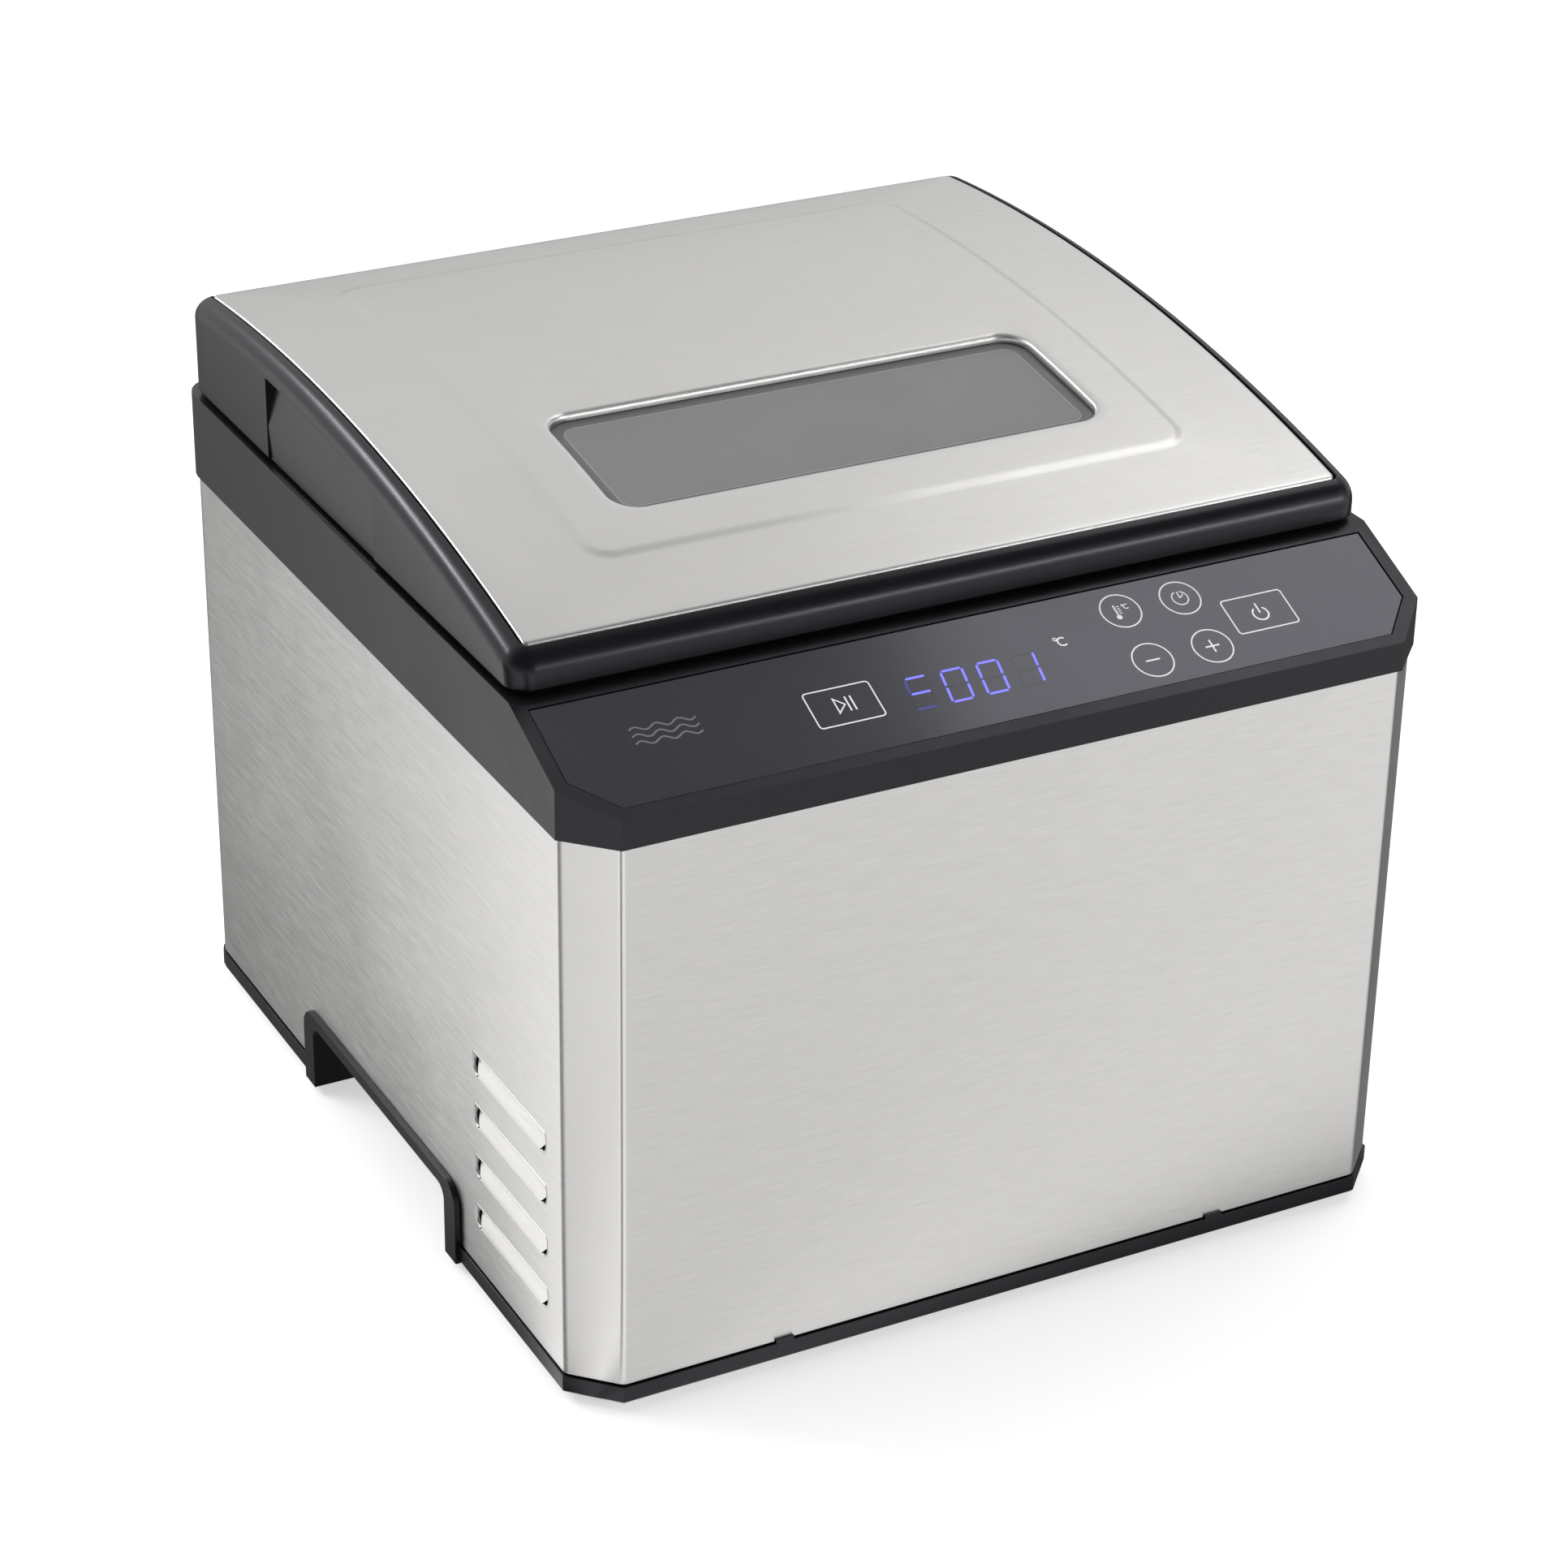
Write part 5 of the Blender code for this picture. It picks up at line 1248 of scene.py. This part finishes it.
# ---------------------------------------------------------------- rear, screws and inner works
def make_rear():
    dress("rear_cover", "zinc")
    refine("inlet_housing", "power_inlet", "inlet_moulded", "housing", 0.35)
    for name in ("line", "earth", "neutral"):
        refine(f"inlet_blade_{name}", f"inlet_pin_{name}", "brass", "housing", 0.5)


def screw_tree():
    """Nodes for a pan-head screw with a cross recess, put on every point and turned to its axis."""
    w, source, sink = open_group(
        "pan_screw", "GeometryNodeTree",
        [("Geometry", "NodeSocketGeometry", None),
         ("Head Radius", FLOAT, 0.0034), ("Head Height", FLOAT, 0.0018),
         ("Shank Radius", FLOAT, 0.0015), ("Shank Length", FLOAT, 0.009), ("Turn", VECTOR, (0.0, 0.0, 0.0)),
         ("Material", "NodeSocketMaterial", None)],
        [("Geometry", "NodeSocketGeometry")])
    radius, tall = source["Head Radius"], source["Head Height"]

    def cone(bottom, top, depth, z):
        shape = w.add("GeometryNodeMeshCone", {"Vertices": 24, "Radius Bottom": bottom, "Radius Top": top,
                                               "Depth": depth})
        shift = w.add("ShaderNodeCombineXYZ", {2: z}).outputs[0]
        return w.add("GeometryNodeTransform", {"Geometry": shape.outputs[0], "Translation": shift}).outputs[0]

    half = w.math("MULTIPLY", tall, 0.5)
    solids = [cone(w.math("MULTIPLY", radius, 0.93), radius, half, w.math("MULTIPLY", tall, -0.5))]
    solids.append(cone(w.math("MULTIPLY", radius, 0.62), w.math("MULTIPLY", radius, 0.93),
                       half, w.math("MULTIPLY", tall, -1.0)))
    solids.append(cone(source["Shank Radius"], source["Shank Radius"], source["Shank Length"], -0.0001))
    body = w.add("GeometryNodeMeshBoolean", {"Mesh 2": solids}, operation="UNION", solver="EXACT").outputs[0]
    arms = []
    for axis in (0, 1):
        sizes = [w.math("MULTIPLY", radius, 0.95 if k == axis else 0.22) for k in (0, 1)]
        size = w.add("ShaderNodeCombineXYZ", {0: sizes[0], 1: sizes[1], 2: tall}).outputs[0]
        arm = w.add("GeometryNodeMeshCube", {"Size": size}).outputs[0]
        shift = w.add("ShaderNodeCombineXYZ", {2: w.math("MULTIPLY", tall, -0.95)}).outputs[0]
        arms.append(w.add("GeometryNodeTransform", {"Geometry": arm, "Translation": shift}).outputs[0])
    driven = w.add("GeometryNodeMeshBoolean", {"Mesh 1": body, "Mesh 2": arms}, operation="DIFFERENCE",
                   solver="EXACT").outputs[0]
    spread = w.add("GeometryNodeInstanceOnPoints", {"Points": source["Geometry"], "Instance": driven,
                                                    "Rotation": source["Turn"]}).outputs[0]
    real = w.add("GeometryNodeRealizeInstances", {0: spread}).outputs[0]
    done = w.add("GeometryNodeSetMaterial", {"Geometry": real, "Material": source["Material"]})
    w.put(sink["Geometry"], done.outputs[0])
    return w.tree


def make_screws():
    """Rear, inlet, base and liner screws, one piece for each set."""
    tree = screw_tree()
    sets = {
        "rear_screws": ("rear_screw_{}", 4, 3.4, 1.8, 1.5, "housing", "back"),
        "inlet_screws": ("inlet_screw_{}", 2, 2.9, 1.4, 1.4, "housing", "back"),
        "base_screws": ("base_screw_{}", 4, 3.2, 1.8, 1.5, "housing", "below"),
        "liner_screws": ("liner_screw_{}", 4, 3.0, 1.4, 1.4, "lid", "below"),
    }
    for name, (pattern, count, head_r, head_h, shank_r, body, side) in sets.items():
        nodes = [pattern.format(i + 1) for i in range(count)]
        places = []
        for node in nodes:
            low, high = corners(node)
            middle = (low + high) / 2
            if side == "back":
                places.append((middle.x, high.y - head_h, middle.z))
                long, turn = high.y - low.y - head_h, (math.pi / 2, 0.0, 0.0)
            else:
                places.append((middle.x, middle.y, low.z + head_h))
                long, turn = high.z - low.z - head_h, (0.0, 0.0, 0.0)
        inputs = {"Head Radius": head_r * MM, "Head Height": head_h * MM, "Shank Radius": shank_r * MM,
                  "Shank Length": long * MM, "Turn": turn, "Material": finish("screw_zinc")}
        grown(name, tree, places, inputs, body, nodes, 30.0)


def make_inner_works():
    """Heater, sensors and boards keep their frame meshes and get full materials."""
    wanted = {
        "heater_plate": "aluminium", "heating_element": "core", "heater_bracket_left": "zinc",
        "heater_bracket_right": "zinc", "temperature_probe": "wire_steel", "probe_clip": "screw_zinc",
        "thermal_cutout": "component", "board_bracket": "zinc", "power_board": "board",
        "transformer": "core", "power_relay": "relay", "capacitor": "component",
        "heat_sink": "aluminium", "control_screw_1": "screw_zinc", "control_screw_2": "screw_zinc",
    }
    for node, finish_name in wanted.items():
        dress(node, finish_name)


# ---------------------------------------------------------------- stage
CAMERA_PLACE = Vector((-0.6518214, -1.2299606, 0.8530440))
CAMERA_AZIMUTH = 0.4881871740
CAMERA_DROP = 0.4817359135
CAMERA_ROLL = 0.0165485765


def make_camera(lens):
    az, el, roll = CAMERA_AZIMUTH, CAMERA_DROP, CAMERA_ROLL
    ahead = Vector((math.sin(az) * math.cos(el), math.cos(az) * math.cos(el), -math.sin(el)))
    right = Vector((math.cos(az), -math.sin(az), 0.0))
    up = right.cross(ahead)
    right, up = (right * math.cos(roll) + up * math.sin(roll), up * math.cos(roll) - right * math.sin(roll))
    data = bpy.data.cameras.new("camera")
    data.lens = lens
    data.sensor_width = 36.0
    data.clip_end = 50.0
    camera = bpy.data.objects.new("camera", data)
    turn = Matrix((right, up, -ahead)).transposed().to_4x4()
    camera.matrix_world = Matrix.Translation(CAMERA_PLACE) @ turn
    bpy.context.scene.collection.objects.link(camera)
    bpy.context.scene.camera = camera


def add_lamp(name, place, target, size, power, spread=180.0):
    data = bpy.data.lights.new(name, "AREA")
    data.shape = "RECTANGLE"
    data.size, data.size_y = size
    data.energy = power
    data.spread = math.radians(spread)
    lamp = bpy.data.objects.new(name, data)
    lamp.location = place
    lamp.rotation_euler = (Vector(target) - Vector(place)).to_track_quat("-Z", "Y").to_euler()
    lamp.visible_camera = False
    bpy.context.scene.collection.objects.link(lamp)


FLOOR_GLOW = 0.55              # lifts the floor to plain white
CARD_CORNER = (-0.158, -0.166)
# Light and dark cards lying round the oven's front left corner: angle about it, and brightness.
CARDS = [
    (-180, 0.6), (-170, 1.1), (-152, 1.25), (-140, 1.5), (-128, 1.5), (-123, 0.1), (-111, 0.1),
    (-106, 1.5), (-84, 1.5), (-74, 0.95), (-60, 0.88), (-36, 0.86), (-22, 1.05), (-10, 1.05), (-2, 0.1),
    (40, 0.1), (60, 0.2), (98, 0.2), (105, 0.42), (112, 0.9), (118, 1.4), (133, 1.4), (138, 0.1), (158, 0.1),
    (172, 0.4), (180, 0.6),
]
CARD_PEAK = 1.5


def card_light(f):
    """Brightness of the cards at a place on the floor, from the angle about the corner."""
    place = f.add("ShaderNodeSeparateXYZ", {0: f.place}).outputs
    x, y = f.math("SUBTRACT", place[0], CARD_CORNER[0]), f.math("SUBTRACT", place[1], CARD_CORNER[1])
    turn = f.span(f.math("ARCTAN2", y, x), -math.pi, math.pi, 0.0, 1.0)
    ramp = f.add("ShaderNodeValToRGB", {0: turn})
    stops = ramp.color_ramp.elements
    for index, (angle, level) in enumerate(CARDS):
        share = (angle + 180) / 360
        stop = stops[0] if index == 0 else stops[-1] if index == len(CARDS) - 1 else stops.new(share)
        stop.position = share
        stop.color = (level / CARD_PEAK,) * 3 + (1.0,)
    return f.math("MULTIPLY", ramp.outputs[0], CARD_PEAK)


def floor_finish():
    """White floor to the eye; what the oven mirrors there is the cards."""
    f = Finish("stage_floor", IOR=1.3)
    seen = f.add("ShaderNodeLightPath").outputs["Is Camera Ray"]
    marks = f.group("handling_marks", Scale=1.2, Low=0.6, High=0.75)
    white = f.blend(marks["Value"], (0.92, 0.92, 0.92, 1.0), (0.93, 0.93, 0.93, 1.0))
    f.put(f.shader.inputs["Base Color"], f.blend(seen, (0.0, 0.0, 0.0, 1.0), white))
    f.roughness(marks["Value"])
    f.shader.inputs["Emission Color"].default_value = (1.0, 1.0, 1.0, 1.0)
    glow = f.add("ShaderNodeMix", {0: seen, 2: card_light(f), 3: FLOOR_GLOW}).outputs[0]
    f.put(f.shader.inputs["Emission Strength"], glow)
    return f.material


def shade_room(w, strength):
    """White room: dark behind the camera and low at the back right, bright low at the back left."""
    way = w.add("ShaderNodeSeparateXYZ", {0: w.add("ShaderNodeTexCoord").outputs["Generated"]}).outputs
    front = w.span(way[1], 0.30, -0.12, 0.0, 1.0)
    above = w.span(way[2], 0.10, 0.30, 0.0, 1.0)
    level = w.span(w.math("MULTIPLY", front, above), 0.0, 1.0, strength, strength * 0.12)
    low_back = w.math("MULTIPLY", w.span(way[2], 0.34, 0.14, 0.0, 1.0), w.span(way[1], 0.25, 0.5, 0.0, 1.0))
    tilt = w.span(way[0], -0.35, 0.05, 0.0, -0.45)
    level = w.math("MULTIPLY", level, w.math("ADD", 1.0, w.math("MULTIPLY", low_back, tilt)))
    background = w.tree.nodes["Background"]
    background.inputs["Color"].default_value = (1.0, 1.0, 1.0, 1.0)
    seen = w.add("ShaderNodeLightPath").outputs["Is Camera Ray"]
    w.put(background.inputs["Strength"], w.add("ShaderNodeMix", {0: seen, 2: level, 3: 1.0}).outputs[0])


def make_stage():
    settings = bpy.context.scene.oven_stage
    half = settings.floor
    mesh = bpy.data.meshes.new("floor")
    corners = [(-half, -half, 0), (half, -half, 0), (half, half, 0), (-half, half, 0)]
    mesh.from_pydata(corners, [], [(0, 1, 2, 3)])
    mesh.materials.append(floor_finish())
    floor = bpy.data.objects.new("floor", mesh)
    bpy.context.scene.collection.objects.link(floor)
    world = bpy.data.worlds.new("studio")
    world.use_nodes = True
    shade_room(Wiring(world.node_tree), settings.room)
    bpy.context.scene.world = world
    add_lamp("overhead", (1.25, 0.0, 1.9), (0.1, -0.1, 0.25), (0.9, 0.7), settings.overhead)
    add_lamp("right_fill", (1.9, -1.6, 1.0), (0.0, 0.0, 0.15), (1.4, 1.4), settings.fill)
    add_lamp("left_strip", (-1.35, 1.55, 1.55), (-0.15, 0.0, 0.27), (1.3, 0.16), settings.left_strip)
    add_lamp("front_strip", (1.25, -2.05, 0.95), (0.0, -0.17, 0.27), (1.5, 0.16), settings.front_strip)
    bpy.context.scene.view_settings.view_transform = "Standard"
    make_camera(settings.lens)


# ---------------------------------------------------------------- add-on classes
def run(make, context):
    """Build one group; a failure is raised, so that the script stops."""
    make()
    return {"FINISHED"}


class OVEN_OT_casing(bpy.types.Operator):
    """Fold the steel wrap and press its louvres"""
    bl_idname = "oven.casing"
    bl_label = "Steel Wrap"

    def execute(self, context):
        return run(make_casing, context)


class OVEN_OT_base(bpy.types.Operator):
    """Add the moulded base tray and its feet"""
    bl_idname = "oven.base"
    bl_label = "Base"

    def execute(self, context):
        return run(make_base, context)


class OVEN_OT_top_frame(bpy.types.Operator):
    """Add the moulded ring on top of the wrap"""
    bl_idname = "oven.top_frame"
    bl_label = "Top Frame"

    def execute(self, context):
        return run(make_top_frame, context)


class OVEN_OT_control_panel(bpy.types.Operator):
    """Add the control overlay, its printed keys and the display digits"""
    bl_idname = "oven.control_panel"
    bl_label = "Control Panel"

    def execute(self, context):
        return run(make_control_panel, context)


class OVEN_OT_lid_body(bpy.types.Operator):
    """Add the black lid body with its side grips"""
    bl_idname = "oven.lid_body"
    bl_label = "Lid Body"

    def execute(self, context):
        return run(make_lid_body, context)


class OVEN_OT_lid_sheet(bpy.types.Operator):
    """Add the brushed sheet over the lid"""
    bl_idname = "oven.lid_sheet"
    bl_label = "Lid Sheet"

    def execute(self, context):
        return run(make_lid_sheet, context)


class OVEN_OT_window(bpy.types.Operator):
    """Add the frosted pane and its gasket"""
    bl_idname = "oven.window"
    bl_label = "Window"

    def execute(self, context):
        return run(make_window, context)


class OVEN_OT_lid_underside(bpy.types.Operator):
    """Add the lid's inner cover and its seal"""
    bl_idname = "oven.lid_underside"
    bl_label = "Lid Underside"

    def execute(self, context):
        return run(make_lid_underside, context)


class OVEN_OT_tank(bpy.types.Operator):
    """Add the drawn steel tank"""
    bl_idname = "oven.tank"
    bl_label = "Tank"

    def execute(self, context):
        return run(make_tank, context)


class OVEN_OT_rack(bpy.types.Operator):
    """Add the wire rack and the floor grille"""
    bl_idname = "oven.rack"
    bl_label = "Rack"

    def execute(self, context):
        return run(make_rack, context)


class OVEN_OT_rear(bpy.types.Operator):
    """Add the rear cover and the power inlet"""
    bl_idname = "oven.rear"
    bl_label = "Rear"

    def execute(self, context):
        return run(make_rear, context)


class OVEN_OT_screws(bpy.types.Operator):
    """Add the four sets of screws"""
    bl_idname = "oven.screws"
    bl_label = "Screws"

    def execute(self, context):
        return run(make_screws, context)


class OVEN_OT_inner_works(bpy.types.Operator):
    """Finish the heater, the sensors and the boards"""
    bl_idname = "oven.inner_works"
    bl_label = "Inner Works"

    def execute(self, context):
        return run(make_inner_works, context)


class OVEN_OT_stage(bpy.types.Operator):
    """Add the floor, the lamps and the camera"""
    bl_idname = "oven.stage"
    bl_label = "Stage"

    def execute(self, context):
        return run(make_stage, context)


OPERATORS = (
    OVEN_OT_casing, OVEN_OT_base, OVEN_OT_top_frame, OVEN_OT_control_panel, OVEN_OT_lid_body,
    OVEN_OT_lid_sheet, OVEN_OT_window, OVEN_OT_lid_underside, OVEN_OT_tank, OVEN_OT_rack, OVEN_OT_rear, OVEN_OT_screws,
    OVEN_OT_inner_works, OVEN_OT_stage,
)
SETTINGS = {
    "oven_casing": CasingSizes, "oven_lid": LidSizes, "oven_panel": PanelSizes, "oven_rack": RackSizes,
    "oven_colours": FinishColours, "oven_stage": StageSettings,
}


class OVEN_PT_panel(bpy.types.Panel):
    """Sizes, colours and build steps of the water oven"""
    bl_label = "Water Oven"
    bl_idname = "OVEN_PT_panel"
    bl_space_type = "VIEW_3D"
    bl_region_type = "UI"
    bl_category = "Water Oven"

    def draw(self, context):
        for name, group in SETTINGS.items():
            column = self.layout.column()
            column.label(text=name.replace("oven_", "").capitalize())
            for key in group.__annotations__:
                column.prop(getattr(context.scene, name), key)
        for operator in OPERATORS:
            self.layout.operator(operator.bl_idname)


def register():
    for group in SETTINGS.values():
        bpy.utils.register_class(group)
    for name, group in SETTINGS.items():
        setattr(bpy.types.Scene, name, PointerProperty(type=group))
    for cls in OPERATORS + (OVEN_PT_panel,):
        bpy.utils.register_class(cls)


def unregister():
    for cls in reversed(OPERATORS + (OVEN_PT_panel,)):
        bpy.utils.unregister_class(cls)
    for name in SETTINGS:
        delattr(bpy.types.Scene, name)
    for group in SETTINGS.values():
        bpy.utils.unregister_class(group)


def main():
    register()
    for operator in OPERATORS:
        group, name = operator.bl_idname.split(".")
        getattr(getattr(bpy.ops, group), name)()


if __name__ == "__main__":
    main()
